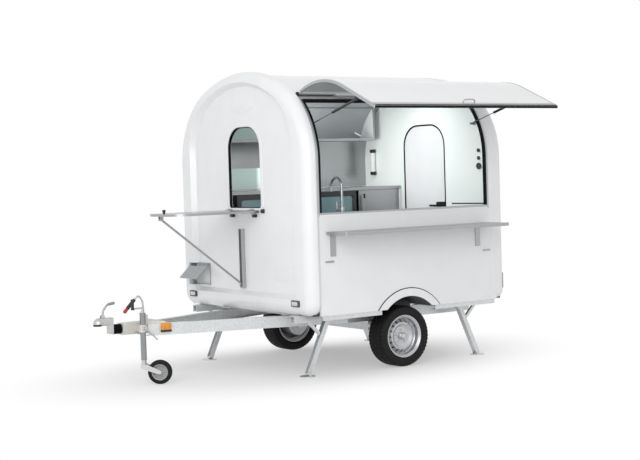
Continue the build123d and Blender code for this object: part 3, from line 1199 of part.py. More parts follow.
for x in (counter_x0, 300, counter_x1 - 18):
    panel = block(x, x + 18, -GUARD_Y + 20, COUNTER_EDGE_Y - 20, FLOOR_TOP, COUNTER_TOP - 20)
    counter += panel
tap_bore = rod((TAP_X, TAP_Y, COUNTER_TOP - 40), (TAP_X, TAP_Y, COUNTER_TOP + 60), 11 + RUN_GAP)
body = rod((TAP_X, TAP_Y, COUNTER_TOP - 1), (TAP_X, TAP_Y, COUNTER_TOP + 55), 22)
body += rod((TAP_X - 30, TAP_Y, COUNTER_TOP + 34), (TAP_X, TAP_Y, COUNTER_TOP + 34), 16)
lever_bore = rod((TAP_X - 31, TAP_Y, COUNTER_TOP + 34), (TAP_X - 15, TAP_Y, COUNTER_TOP + 34), 7 + RUN_GAP)
nodes["near_counter"] = counter + body - tap_bore - lever_bore
SPOUT_REACH = 150
neck_z = COUNTER_TOP + TAP_HEIGHT - SPOUT_REACH / 2
spout_path = Line((TAP_Y, COUNTER_TOP + 10), (TAP_Y, neck_z))
spout_path += ThreePointArc(
    (TAP_Y, neck_z), (TAP_Y + SPOUT_REACH / 2, COUNTER_TOP + TAP_HEIGHT), (TAP_Y + SPOUT_REACH, neck_z)
)
spout_path += Line((TAP_Y + SPOUT_REACH, neck_z), (TAP_Y + SPOUT_REACH, neck_z - 40))
spout_ring = Plane(origin=(TAP_X, TAP_Y, COUNTER_TOP + 10)) * Circle(11)
nodes["tap_spout"] = sweep(spout_ring, path=Plane.YZ.offset(TAP_X) * spout_path)
tap_lever = rod((TAP_X - 60, TAP_Y, COUNTER_TOP + 34), (TAP_X - 16, TAP_Y, COUNTER_TOP + 34), 7)
tap_lever += rod((TAP_X - 54, TAP_Y, COUNTER_TOP + 34), (TAP_X - 54, TAP_Y, COUNTER_TOP + 104), 6)
nodes["tap_lever"] = tap_lever

# Far side: counter, the two fridges below it and the shelf over it.
FRIDGE_TOP = FAR_COUNTER_TOP - 30
nodes["far_counter"] = block(
    FRONT_INNER + 60, REAR_INNER - 2, FAR_COUNTER_Y, INNER_Y - 1, FRIDGE_TOP, FAR_COUNTER_TOP
)
FRIDGE_SKIN = 35
FRIDGE_FRONT = FAR_COUNTER_Y + 42
FRIDGE_BACK = INNER_Y - FRIDGE_AIR
PLINTH = 80


def fridge(x0, x1):
    """An open-fronted cabinet on a plinth that stops short of the wheel box."""
    low = FLOOR_TOP + PLINTH
    cabinet = block(x0, x1, FRIDGE_FRONT, FRIDGE_BACK, low, FRIDGE_TOP)
    cabinet -= block(
        x0 + FRIDGE_SKIN,
        x1 - FRIDGE_SKIN,
        FRIDGE_FRONT - 1,
        FRIDGE_BACK - FRIDGE_SKIN,
        low + FRIDGE_SKIN,
        FRIDGE_TOP - FRIDGE_SKIN,
    )
    for y in (FRIDGE_FRONT + 30, GUARD_Y - 40):
        cabinet += block(x0 + 10, x1 - 10, y, y + 18, FLOOR_TOP, low + 1)
    return cabinet


nodes["fridge_cabinets"] = group(fridge(GLASS_X0, GLASS_X1), fridge(STEEL_X0, STEEL_X1))
DOOR_FRONT = FAR_COUNTER_Y + 2
FRIDGE_HINGE = 6
FRIDGE_PIN_Y = DOOR_FRONT + 10
door_z0 = FLOOR_TOP + 92
door_z1 = FRIDGE_TOP - 4
middle = (GLASS_X0 + GLASS_X1) / 2


def fridge_door(x0, x1, axis_x, inset):
    """A fridge door on two pivots, with a full-height grip on its free side."""
    door = block(x0, x1, DOOR_FRONT, FRIDGE_FRONT - 6, door_z0, door_z1)
    if inset:
        door -= block(x0 + 45, x1 - 45, DOOR_FRONT - 1, DOOR_FRONT + 8, door_z0 + 45, door_z1 - 45)
    free = x1 - 30 if abs(axis_x - x0) < abs(axis_x - x1) else x0 + 30
    grip_bar = block(free - 8, free + 8, DOOR_FRONT - 26, DOOR_FRONT - 14, door_z1 - 420, door_z1 - 40)
    for z in (door_z1 - 410, door_z1 - 60):
        grip_bar += block(free - 8, free + 8, DOOR_FRONT - 20, DOOR_FRONT + 1, z, z + 12)
    door += grip_bar
    return door


GLASS_AXIS_0 = GLASS_X0 + 14
GLASS_AXIS_1 = GLASS_X1 - 14
STEEL_AXIS = STEEL_X1 - 14
doors = (
    ("glass_door_front", GLASS_X0 + 2, middle - 2, GLASS_AXIS_0, True),
    ("glass_door_rear", middle + 2, GLASS_X1 - 2, GLASS_AXIS_1, True),
    ("steel_door", STEEL_X0 + 2, STEEL_X1 - 2, STEEL_AXIS, False),
)
cabinets = nodes["fridge_cabinets"].solids()
for index, (name, x0, x1, axis_x, inset) in enumerate(doors):
    door = fridge_door(x0, x1, axis_x, inset)
    pins = None
    for z0, z1 in ((FLOOR_TOP + 60, door_z0 + 30), (door_z1 - 30, FRIDGE_TOP - 2)):
        stud = rod((axis_x, FRIDGE_PIN_Y, z0), (axis_x, FRIDGE_PIN_Y, z1), FRIDGE_HINGE)
        tab_z = z0 if z0 < door_z0 else z1 - 1.6
        tab_end = tab_z + (26 if z0 < door_z0 else 1.6)
        stud += block(axis_x - 10, axis_x + 10, FRIDGE_PIN_Y - 6, FRIDGE_FRONT + 1, tab_z, tab_end)
        pins = stud if pins is None else pins + stud
    door -= rod(
        (axis_x, FRIDGE_PIN_Y, FLOOR_TOP), (axis_x, FRIDGE_PIN_Y, FRIDGE_TOP), FRIDGE_HINGE + RUN_GAP
    )
    which = 0 if index < 2 else 1
    cabinets[which] = cabinets[which] + pins
    nodes[name] = door
nodes["fridge_cabinets"] = group(*cabinets)

OVERHEAD_PLATE = 18
shelf_section = arch_face(WALL + 1, BODY_BOTTOM, 50) & (
    Pos((OVERHEAD_Y + HALF) / 2, OVERHEAD_Z + 160) * Rectangle(HALF - OVERHEAD_Y, 320)
)
inside = arch_face(WALL + 1 + 8, BODY_BOTTOM, 50) & (
    Pos((OVERHEAD_Y + HALF) / 2, OVERHEAD_Z + OVERHEAD_PLATE + 200) * Rectangle(HALF - OVERHEAD_Y + 2, 400)
)
overhead_x0 = FRONT_SEAM + 30
overhead_x1 = REAR_SEAM - 8
overhead = along_x(shelf_section, overhead_x0, overhead_x1)
for x0, x1 in ((overhead_x0 + 15, 15), (30, overhead_x1 - 15)):
    overhead -= along_x(inside, x0, x1)
lip_top = OVERHEAD_Z + OVERHEAD_LIP
overhead += block(overhead_x0, overhead_x1, OVERHEAD_Y, OVERHEAD_Y + 12, OVERHEAD_Z, lip_top)
nodes["overhead_shelf"] = overhead

# Move everything so that the origin is the middle of the bounding box on the ground, and write the files.
everything = Compound([solid for shape in nodes.values() for solid in shape.solids()])
bounds = everything.bounding_box()
SHIFT_X = -(bounds.min.X + bounds.max.X) / 2
SHIFT_Y = -(bounds.min.Y + bounds.max.Y) / 2
SHIFT_Z = -bounds.min.Z
os.makedirs("parts", exist_ok=True)
for name, shape in nodes.items():
    solids = shape.solids()
    piece = solids[0] if len(solids) == 1 else Compound(list(solids))
    export_step(Pos(SHIFT_X, SHIFT_Y, SHIFT_Z) * piece, "parts/" + name + ".step")
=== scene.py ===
"""Look of the coffee trailer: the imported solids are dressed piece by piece, as the real one is built."""

import bpy
import numpy as np
from mathutils import Matrix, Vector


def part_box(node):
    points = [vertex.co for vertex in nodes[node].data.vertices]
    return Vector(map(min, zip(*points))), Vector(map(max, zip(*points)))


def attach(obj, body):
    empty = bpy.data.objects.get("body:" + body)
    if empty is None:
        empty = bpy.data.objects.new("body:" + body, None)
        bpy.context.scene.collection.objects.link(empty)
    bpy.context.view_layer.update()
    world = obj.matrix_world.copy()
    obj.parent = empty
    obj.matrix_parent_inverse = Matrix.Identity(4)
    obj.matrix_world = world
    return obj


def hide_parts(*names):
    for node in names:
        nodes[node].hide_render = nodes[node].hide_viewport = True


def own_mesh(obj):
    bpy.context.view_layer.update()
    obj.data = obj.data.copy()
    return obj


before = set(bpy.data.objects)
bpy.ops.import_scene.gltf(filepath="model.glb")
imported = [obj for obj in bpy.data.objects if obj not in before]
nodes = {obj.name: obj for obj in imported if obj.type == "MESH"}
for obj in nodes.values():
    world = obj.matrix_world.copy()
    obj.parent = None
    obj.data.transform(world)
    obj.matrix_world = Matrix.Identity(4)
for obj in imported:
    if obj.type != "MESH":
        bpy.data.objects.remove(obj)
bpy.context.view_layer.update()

# Setting out. As on the workshop floor, every size is measured in millimetres from the ground under the
# middle of the axle, which the two tyres give: X to the rear, Y away from the serving side, Z up.
near_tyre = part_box("tyre_near")
far_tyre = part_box("tyre_far")
axle = np.array(
    [(near_tyre[0].x + near_tyre[1].x) / 2, (near_tyre[0].y + far_tyre[1].y) / 2, near_tyre[0].z]
)


def place(x, y, z):
    """Points in metres in the shared frame, from millimetres measured from the axle's ground point."""
    return np.stack(np.broadcast_arrays(x, y, z), -1) / 1000 + axle


# Chassis: folded channel arms, side rails, axle and steadies in hot-dip galvanised steel. The zinc freezes
# in flat crystals some 10 mm wide, each a little lighter or darker than the next, and weathers in patches.
def linear(code):
    """An sRGB hex colour as the linear values that a shader works in."""
    share = np.array([int(code[i : i + 2], 16) for i in (1, 3, 5)]) / 255
    light = np.where(share <= 0.04045, share / 12.92, ((share + 0.055) / 1.055) ** 2.4)
    return (*light.tolist(), 1.0)


def add(tree, kind, settings=None, inputs=None):
    """Adds one shader node with its settings; an input is a constant or another node's output."""
    node = tree.nodes.new(kind)
    for key, value in (settings or {}).items():
        setattr(node, key, value)
    for key, value in (inputs or {}).items():
        if isinstance(value, bpy.types.NodeSocket):
            tree.links.new(value, node.inputs[key])
        else:
            node.inputs[key].default_value = value
    return node


def start(name, inputs):
    """A new material, its node tree, its surface shader with these constants, and its Object coordinates."""
    material = bpy.data.materials.new(name)
    material.use_nodes = True
    tree = material.node_tree
    shader = tree.nodes["Principled BSDF"]
    for key, value in inputs.items():
        shader.inputs[key].default_value = value
    return material, tree, shader, add(tree, "ShaderNodeTexCoord").outputs["Object"]


def dress(material, *names):
    """Gives a material to carried-over solids."""
    for name in names:
        nodes[name].data.materials.clear()
        nodes[name].data.materials.append(material)


galvanised, tree, shader, spot = start("hot_dip_galvanised_steel", {"Metallic": 0.7})
crystal_mm, stain_mm = 11, 160
crystals = add(tree, "ShaderNodeTexVoronoi", None, {"Vector": spot, "Scale": 1000 / crystal_mm})
weather = add(tree, "ShaderNodeTexNoise", None, {"Vector": spot, "Scale": 1000 / stain_mm, "Detail": 4.0})
spangle = add(
    tree, "ShaderNodeMix", {"data_type": "RGBA"},
    {0: crystals.outputs["Color"], 6: linear("#d2d5d7"), 7: linear("#e6e8e9")},
)
stained = add(
    tree, "ShaderNodeMix", {"data_type": "RGBA", "blend_type": "MULTIPLY"},
    {0: 0.16, 6: spangle.outputs[2], 7: weather.outputs["Fac"]},
)
dull = add(
    tree, "ShaderNodeMapRange", None,
    {"Value": weather.outputs["Fac"], "From Min": 0.3, "From Max": 0.7, "To Min": 0.34, "To Max": 0.5},
)
tree.links.new(stained.outputs[2], shader.inputs["Base Color"])
tree.links.new(dull.outputs["Result"], shader.inputs["Roughness"])
corners = ("front_near", "front_far", "rear_near", "rear_far")
dress(galvanised, "drawbar_arms", "chassis_frame", "axle_beam", "swing_arm_near", "swing_arm_far")
dress(galvanised, "steady_mounts", *("steady_leg_" + c for c in corners))
dress(galvanised, *("steady_brace_" + c for c in corners))


# Wheel rims: two pressed steel shells welded together and sprayed with silver lacquer. Fine metal flakes
# in the paint give a soft sparkle, and road dirt greys it a little in patches.
def mottle(tree, shader, spot, size, detail, tones, rough=None):
    """Lets a finish drift in patches: a noise of this size in millimetres mixes two tones and, where its two
    ends are given, the roughness too. Returns the noise."""
    noise = add(tree, "ShaderNodeTexNoise", None, {"Vector": spot, "Scale": 1000 / size, "Detail": detail})
    patch = noise.outputs["Fac"]
    colours = {0: patch, 6: linear(tones[0]), 7: linear(tones[1])}
    tone = add(tree, "ShaderNodeMix", {"data_type": "RGBA"}, colours)
    tree.links.new(tone.outputs[2], shader.inputs["Base Color"])
    if rough:
        ends = {"Value": patch, "To Min": rough[0], "To Max": rough[1]}
        gloss = add(tree, "ShaderNodeMapRange", None, ends)
        tree.links.new(gloss.outputs["Result"], shader.inputs["Roughness"])
    return patch


silver, tree, shader, spot = start(
    "silver_wheel_lacquer", {"Metallic": 0.6, "Coat Weight": 0.4, "Coat Roughness": 0.15}
)
mottle(tree, shader, spot, 70, 5.0, ("#c9cacd", "#b3b4b7"))
flake_mm = 1.6
flakes = add(tree, "ShaderNodeTexNoise", None, {"Vector": spot, "Scale": 1000 / flake_mm, "Detail": 0.0})
sparkle = add(
    tree, "ShaderNodeMapRange", None,
    {"Value": flakes.outputs["Fac"], "From Min": 0.3, "From Max": 0.7, "To Min": 0.26, "To Max": 0.42},
)
tree.links.new(sparkle.outputs["Result"], shader.inputs["Roughness"])
dress(silver, "rim_near", "rim_far")


# Wheel bolts, hub caps and valves: five zinc-plated bolts hold each rim on its hub, a pressed cap closes the
# bearing and a metal valve stands in the disc. The plating is bright, duller in patches.
def skin(name, body, grid, material, wrap_u=False, crease=35):
    """A mesh from grids of points: vertex (u, v) of each grid is joined to its neighbours, and every row
    closes on itself. With wrap_u the last row joins the first, without it both are filled. Edges sharper than
    crease degrees stay sharp."""
    grid = np.asarray(grid, float)
    grid = grid[None] if grid.ndim == 3 else grid
    copies, rows, cols = grid.shape[:3]
    index = np.arange(copies * rows * cols).reshape(copies, rows, cols)
    table = np.concatenate([index, index[:, :1]], 1) if wrap_u else index
    table = np.concatenate([table, table[:, :, :1]], 2)
    quads = np.stack([table[:, :-1, :-1], table[:, :-1, 1:], table[:, 1:, 1:], table[:, 1:, :-1]], -1)
    faces = quads.reshape(-1, 4).tolist()
    if not wrap_u:
        faces += index[:, 0, ::-1].tolist() + index[:, -1].tolist()
    points = grid.reshape(-1, 3)
    corner = points[quads.reshape(-1, 4)] - points.mean(0)
    volume = np.einsum("ij,ij->i", corner[:, 0], np.cross(corner[:, 1] - corner[:, 3], corner[:, 2])).sum()
    mesh = bpy.data.meshes.new(name)
    mesh.from_pydata(points.tolist(), [], faces)
    if volume < 0:
        mesh.flip_normals()
    mesh.polygons.foreach_set("use_smooth", np.ones(len(mesh.polygons), bool))
    mesh.set_sharp_from_angle(angle=np.radians(crease))
    mesh.materials.append(material)
    piece = bpy.data.objects.new(name, mesh)
    bpy.context.scene.collection.objects.link(piece)
    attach(piece, body)
    return piece


def turned(radius, height, steps, sides=0):
    """A profile turned about an axis: rows follow the profile, columns the angle; returns the two offsets
    across the axis and the height along it. With sides, the radius follows a polygon: radius times the cosine
    of half a side's angle, over the cosine of the angle from that side's middle."""
    angle = np.arange(steps) * 2 * np.pi / steps
    shape = np.ones((len(radius), steps))
    for row, count in enumerate(np.broadcast_to(sides, len(radius))):
        if count:
            half = np.pi / count
            shape[row] = np.cos(half) / np.cos((angle % (2 * half)) - half)
    radius = np.asarray(radius, float)[:, None] * shape
    height = np.broadcast_to(np.asarray(height, float)[:, None], radius.shape)
    return radius * np.cos(angle), radius * np.sin(angle), height


zinc, *parts = start("bright_zinc_plating", {"Metallic": 0.9})
mottle(*parts, 30, 5.0, ("#d3d3d0", "#b9bab8"), (0.18, 0.5))
both_sides = ((-1, "near"), (1, "far"))
wheel_y, axle_z = 835.5, 262.5
mount_face, bolt_circle, bolt_sink = 38.0, 56.0, 0.5
valve_circle, valve_angle, valve_face = 118, 0.9, 44
bolt_angle = np.arange(5)[:, None, None] * 2 * np.pi / 5 + np.pi / 2
valve_x, valve_z = valve_circle * np.cos(valve_angle), axle_z + valve_circle * np.sin(valve_angle)
for side, label in both_sides:
    wheel = "wheel_" + label
    a, b, h = turned(
        [0.5, 12.5, 12.5, 9.6, 9.6, 8.2, 0.5], [0, 0, 3, 4.5, 13, 15, 15.6], 48, [0, 0, 0, 6, 6, 0, 0]
    )
    bolt_x = bolt_circle * np.cos(bolt_angle) + a
    bolt_z = axle_z + bolt_circle * np.sin(bolt_angle) + b
    bolts = place(bolt_x, side * (wheel_y + mount_face - bolt_sink + h), bolt_z)
    skin("wheel_bolts_" + label, wheel, bolts, zinc)
    a, b, h = turned([0.5, 14, 22, 26.5, 28.5, 31.6, 31.6, 30.5], [36, 35.4, 32.5, 26, 8, 4, -4, -6], 48)
    cap = place(a, side * (wheel_y + mount_face + h), axle_z + b)
    skin("hub_cap_" + label, wheel, cap, zinc)
    a, b, h = turned([0.5, 4, 4, 5.5, 5.5, 3.2, 3.2, 0.5], [0, 0, 18, 19, 24, 25, 34, 34.5], 20)
    valve = place(valve_x + a, side * (wheel_y + valve_face + h), valve_z + b)
    skin("tyre_valve_" + label, wheel, valve, zinc)


# Tyres: 195/50 R13 road tyres, moulded in black rubber with four grooves round the tread and slanted slots
# in the shoulders. New rubber is almost matt, greyer where the road has scuffed the tread.
def grain(tree, shader, spot, size, detail, strength, height):
    """Raises a fine grain: a noise of this size drives a bump of this height, both in millimetres."""
    noise = add(tree, "ShaderNodeTexNoise", None, {"Vector": spot, "Scale": 1000 / size, "Detail": detail})
    lift = {"Height": noise.outputs["Fac"], "Strength": strength, "Distance": height / 1000}
    bump = add(tree, "ShaderNodeBump", None, lift)
    tree.links.new(bump.outputs["Normal"], shader.inputs["Normal"])


tread, *parts = start("black_tyre_rubber", {"IOR": 1.52, "Specular IOR Level": 0.25})
mottle(*parts, 50, 6.0, ("#0c0b0c", "#1a1819"), (0.5, 0.82))
grain(*parts, 1.5, 2.0, 0.25, 0.6)


def tyre_surface(turns):
    """Tyre as radius and width over the angle. Upper sidewall: width = 97·(1 − ((r − 218)/44.5)⁶)^(1/6);
    lower sidewall: an ellipse about the same widest ring down to the rim; tread: radius from the same sixth
    power, less the grooves, which are smooth steps of the distance from each groove's middle line."""
    wide, ring, crown, low = 97.0, 218.0, 44.5, 56.7
    bead_r, bead_w, rim_r, tread_r = 168.0, 76.0, 183.5, 259.5
    groove_lines, groove_half, groove_wall = np.array([-50.0, -18.0, 18.0, 50.0]), 5.0, 1.6
    slots, slot_slant, cut_depth = 48, 0.0012, 6.0
    rib_rings, rib_height, rib_width = (196, 244), 0.8, 2.2
    low_r = np.linspace(rim_r, ring, 12)[:-1]
    low_w = wide * np.sqrt(1 - ((ring - low_r) / low) ** 2)
    high_r = np.linspace(ring, tread_r, 16)
    high_w = wide * (1 - ((high_r - ring) / crown) ** 6) ** (1 / 6)
    half_tread = high_w[-1] - 2
    flat_w = np.linspace(half_tread, -half_tread, 65)
    flat_r = ring + crown * (1 - (np.abs(flat_w) / wide) ** 6) ** (1 / 6)
    radius = np.concatenate([[bead_r], low_r, high_r, flat_r, high_r[::-1], low_r[::-1], [bead_r]])
    width = np.concatenate([[bead_w], low_w, high_w, flat_w, -high_w[::-1], -low_w[::-1], [-bead_w]])
    angle = np.arange(turns) * 2 * np.pi / turns
    aside = np.abs(width[:, None] - groove_lines).min(1)
    groove = np.clip((groove_half - aside) / groove_wall + 0.5, 0, 1)[:, None]
    slant = (angle[None] + np.abs(width[:, None]) * slot_slant) * slots
    slot = np.clip((np.cos(slant) - 0.62) / 0.2, 0, 1)
    shoulder = np.clip((np.abs(width) - 54) / 3, 0, 1) * np.clip((radius - 246) / 4, 0, 1)
    depth = cut_depth * np.maximum(groove * (radius[:, None] > 250), slot * shoulder[:, None])
    rib = rib_height * sum(np.exp(-(((radius - at) / rib_width) ** 2)) for at in rib_rings)
    return radius[:, None] - depth, (width + rib * np.sign(width))[:, None], angle


radius, width, turn = tyre_surface(384)
for side, label in both_sides:
    grid = place(radius * np.cos(turn), side * wheel_y + width, axle_z + radius * np.sin(turn))
    tyre = skin("road_tyre_" + label, "wheel_" + label, grid, tread, wrap_u=True, crease=50)
    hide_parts("tyre_" + label)

# Mudguards: vacuum-formed liners in dark grey plastic with a fine leather grain, each with a splash apron. A
# white gelcoated lip is screwed to the wall round each wheel arch, with a thin rubber cord in the joint.
liner, tree, shader, spot = start("grained_grey_plastic", {"IOR": 1.5})
mottle(tree, shader, spot, 120, 5.0, ("#3a3a3b", "#575757"), (0.45, 0.75))
leather_mm = 4
cells = add(
    tree, "ShaderNodeTexVoronoi", {"feature": "SMOOTH_F1"}, {"Vector": spot, "Scale": 1000 / leather_mm}
)
leather = add(
    tree, "ShaderNodeBump", None, {"Height": cells.outputs["Distance"], "Strength": 0.4, "Distance": 0.001}
)
tree.links.new(leather.outputs["Normal"], shader.inputs["Normal"])
dress(liner, "mudguards")

gelcoat, tree, shader, spot = start(
    "white_gelcoat_laminate", {"Roughness": 0.2, "IOR": 1.52, "Coat Weight": 0.25}
)
ripple = mottle(tree, shader, spot, 180, 1.0, ("#e6e7ea", "#eceded"))
swell = add(tree, "ShaderNodeBump", None, {"Height": ripple, "Strength": 0.05, "Distance": 0.002})
tree.links.new(swell.outputs["Normal"], shader.inputs["Normal"])

rubber, *parts = start("black_sealing_rubber", {"IOR": 1.52, "Specular IOR Level": 0.15})
mottle(*parts, 40, 4.0, ("#060707", "#0e0f0f"), (0.38, 0.6))

floor_z = 515.0


def rounded(width, height, radius):
    """A rectangle with round corners as a closed loop: four quarter circles, each about its own centre."""
    steps = 5
    angle = (np.arange(4)[:, None] * np.pi / 2 + np.linspace(0, np.pi / 2, steps)).ravel()
    sign = np.repeat(np.array([[1, 1], [-1, 1], [-1, -1], [1, -1]]), steps, 0)
    centre = sign * (np.array([width, height]) / 2 - radius)
    return centre + radius * np.stack([np.cos(angle), np.sin(angle)], -1)


def arch_band(profile, middle, outer_y, side):
    """A profile carried over a wheel arch. At radius r the arc starts where it meets the floor's height, at
    the angle arcsin((floor − axle)/r), and ends at the same angle on the other side."""
    radius = middle + profile[:, 0]
    first = np.arcsin((floor_z - axle_z) / radius)
    angle = first + np.linspace(0, 1, 65)[:, None] * (np.pi - 2 * first)
    return place(radius * np.cos(angle), side * (outer_y + profile[:, 1]), axle_z + radius * np.sin(angle))


lip_r, lip_y, cord_r, cord_y = 384.5, 1004.5, 420.5, 1002.0
apron_half, apron_y, apron_z = 236.0, 716, 500
for side, label in both_sides:
    lip = arch_band(rounded(67, 10, 3.5), lip_r, lip_y, side)
    skin("arch_lip_" + label, "trailer", lip, gelcoat)
    cord = arch_band(rounded(9, 6, 2.6), cord_r, cord_y, side)
    skin("arch_cord_" + label, "trailer", cord, rubber)
    edge = rounded(4, 92, 1.5)
    apron_x = np.array([[-apron_half], [apron_half]])
    apron = place(apron_x, side * apron_y + edge[:, 0], apron_z + edge[:, 1])
    skin("splash_apron_" + label, "trailer", apron, liner)

# Body shell: end caps, roof and side wall in glass-fibre laminate with a thick white gelcoat from a polished
# mould. It is glossy, and the panels ripple very slightly. A white strip covers the joint at the rear.
dress(gelcoat, "front_cap", "rear_cap", "roof_shell", "side_wall", "hatch_panel", "entrance_door")
half_width, body_top, spring_z = 1000.0, 2552.0, 1799.233
haunch_y, haunch_r, crown_r = 320.0, 680.0, 1420.0
crown_z = body_top - crown_r
join = np.arctan2(haunch_y, spring_z - crown_z)


def arch_path(lift, low_z, start_deg=90.0):
    """The body's cross section as a path of (y, z), moved out by lift: straight side, haunch arc, crown arc
    and the same on the far side. The angle, from straight up, says where it starts on the near haunch; at
    90 degrees it starts at the foot of the near side."""
    haunch, crown = haunch_r + lift, crown_r + lift
    near = np.linspace(np.radians(start_deg), join, 25)
    over = np.linspace(join, -join, 33)[1:-1]
    far = np.linspace(join, np.pi / 2, 25)
    upright = np.linspace(low_z, spring_z, 12)[:-1]
    y = [-haunch_y - haunch * np.sin(near), -crown * np.sin(over), haunch_y + haunch * np.sin(far)]
    z = [spring_z + haunch * np.cos(near), crown_z + crown * np.cos(over), spring_z + haunch * np.cos(far)]
    y.append(np.full(11, half_width + lift))
    z.append(upright[::-1])
    if start_deg == 90.0:
        y.insert(0, np.full(11, -half_width - lift))
        z.insert(0, upright)
    return np.concatenate(y), np.concatenate(z)


def carry(profile, path, up, closed=False):
    """A profile carried along a path in metres: at each point the across direction is path direction × up,
    and a profile point (a, b) in millimetres lands at path + a·across + b·(across × direction)."""
    if closed:
        along = np.roll(path, -1, 0) - np.roll(path, 1, 0)
    else:
        along = np.gradient(path, axis=0)
    along = along / np.linalg.norm(along, axis=1, keepdims=True)
    across = np.cross(along, np.broadcast_to(up, path.shape))
    across = across / np.linalg.norm(across, axis=1, keepdims=True)
    raised = np.cross(across, along)
    step = profile / 1000
    return path[:, None] + across[:, None] * step[None, :, :1] + raised[:, None] * step[None, :, 1:]


strip_x, strip_low = 974.0, 585.0
strip = carry(rounded(2.2, 60, 1.0), place(strip_x, *arch_path(0.6, strip_low)), (1, 0, 0))
skin("joint_strip", "trailer", strip, gelcoat)

# Hitch: a ball coupling in zinc-plated pressed steel on a cast overrun housing with a pale zinc finish. Cast
# faces are matt and slightly pitted, the pressings smooth and bright. A rubber guard edges the nose.
cast, *parts = start("zinc_coated_casting", {"Metallic": 0.35})
mottle(*parts, 60, 3.0, ("#dad8d2", "#c2c0ba"), (0.42, 0.62))
grain(*parts, 3, 4.0, 0.35, 0.8)
dress(cast, "overrun_housing", "jockey_clamp")
dress(zinc, "coupling_head", "handbrake_lever", "clamp_handle", "jockey_crank", "jockey_fork")
ball_x, nose_r, nose_z = -2438.0, 40.0, 506.0
around = np.radians(np.linspace(80, 280, 41))
nose = place(ball_x + nose_r * np.cos(around), nose_r * np.sin(around), nose_z)
skin("coupling_nose_guard", "coupling", carry(rounded(3.4, 15, 1.5), nose, (0, 0, 1)), rubber)


# Bellows: a moulded rubber concertina between coupling and housing keeps the draw tube's grease clean.
# On the trailer it shortens by the overrun travel when the trailer pushes on the car; here it stays at one
# length.
def aim(origin, direction, shape):
    """Puts a shape of offsets a and b and heights h on an axis: each point is origin + h·direction + a·side +
    b·(direction × side)."""
    a, b, h = shape
    direction = np.asarray(direction, float) / np.linalg.norm(direction)
    helper = (0, 0, 1) if abs(direction[2]) < 0.9 else (1, 0, 0)
    side = np.cross(direction, helper)
    side = side / np.linalg.norm(side)
    other = np.cross(direction, side)
    point = np.asarray(origin, float) + h[..., None] * direction + a[..., None] * side + b[..., None] * other
    return place(point[..., 0], point[..., 1], point[..., 2])


bellows_x0, bellows_x1, tube_z = -2317.5, -2240.5, 462.0
bellows_length = bellows_x1 - bellows_x0
folds, fold_low, fold_depth, cuff_r, bore_r = 6, 31.5, 10.0, 33.5, 27
share = np.linspace(0, 1, 109)
fold = fold_low + fold_depth * (0.5 - 0.5 * np.cos(2 * np.pi * folds * share)) ** 0.7
fold = np.where((share < 0.04) | (share > 0.96), cuff_r, fold)
radius = np.concatenate([[bore_r], fold, [bore_r]])
height = np.concatenate([[0], share, [1]]) * bellows_length
folded = aim((bellows_x0, 0, tube_z), (1, 0, 0), turned(radius, height, 64))
bellows = skin("draw_tube_bellows", "trailer", folded, rubber, crease=60)
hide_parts("bellows")
place(bellows_x1, 0, tube_z).tolist()
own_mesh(bellows)

# Handbrake: a bent zinc-plated lever with a ribbed grip in black plastic and a red release button in its end.
# The black plastic is fine-grained and half matt; the red one is smoother and glossier from handling.
plastic, *parts = start("black_moulded_plastic", {"IOR": 1.5})
mottle(*parts, 25, 3.0, ("#161617", "#262627"), (0.35, 0.55))
grain(*parts, 1.2, 2.0, 0.2, 0.4)
red, *parts = start("red_moulded_plastic", {"IOR": 1.5})
mottle(*parts, 12, 3.0, ("#c8202a", "#a9151f"), (0.24, 0.42))
grip_start = np.array([-2082.0, 40.0, 686.0])
grip_run = np.array([-2152.0, 40.0, 614.0]) - grip_start
grip_length = np.linalg.norm(grip_run)
end_round, rib_pitch, bore_depth = 3, 11.8, 34
along_grip = np.linspace(end_round, grip_length - end_round, 73)
finger = 15.3 + 0.9 * np.cos(2 * np.pi * (along_grip - end_round) / rib_pitch)
radius = np.concatenate([[0.5, 13.5], finger, [15, 12.6, 12.6, 0.5]])
height = np.concatenate([[0, 0], along_grip, grip_length - np.array([0, 0, bore_depth, bore_depth])])
ribbed = aim(grip_start, grip_run, turned(radius, height, 48))
grip = skin("brake_grip", "handbrake", ribbed, plastic)
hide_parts("handbrake_grip")
radius = [0.5, 11.9, 11.9, 13.8, 15, 15, 14.2, 11, 5, 0.5]
height = grip_length + np.array([-21, -21, 8.8, 9.6, 11, 36, 40, 42.8, 43.9, 44])
knob = aim(grip_start, grip_run, turned(radius, height, 48))
button = skin("brake_button", "release", knob, red)
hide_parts("release_button")

# Jockey wheel: a clamped chromed tube with a crank on top and a trailing castor below: a solid rubber tyre
# on a grey plastic wheel of rim, hub, web and five spokes. The crank's end turns in a black plastic sleeve.
jockey_x, jockey_y, crank_reach, crank_z = -2105.0, -134.0, 88, 626
radius = [7.4, 13.2, 14, 13.2, 12.6, 13.2, 14, 12, 7, 0.5]
height = [-8.5, -8.5, -4, 8, 36, 64, 76, 79.5, 80.3, 80.5]
sleeve = aim((jockey_x - crank_reach, jockey_y, crank_z), (0, 0, 1), turned(radius, height, 40))
skin("crank_sleeve", "jockey_handle", sleeve, plastic)
trail_angle, trail, hub_z = np.radians(-35.5), 129, 100.0
hub = np.array([jockey_x + trail * np.cos(trail_angle), jockey_y + trail * np.sin(trail_angle), hub_z])
hub_line = np.array([-np.sin(trail_angle), np.cos(trail_angle), 0.0])
seat_r, seat_half, tyre_half, tyre_depth = 66, 28, 30, 34
bead = np.linspace(-0.98, 0.98, 25)
radius = np.concatenate([[seat_r], seat_r + tyre_depth * (1 - np.abs(bead) ** 2.6) ** 0.5, [seat_r]])
height = np.concatenate([[-seat_half], bead * tyre_half, [seat_half]])
solid_tyre = aim(hub, hub_line, turned(radius, height, 72))
skin("jockey_tyre", "jockey_roller", solid_tyre, tread, wrap_u=True)

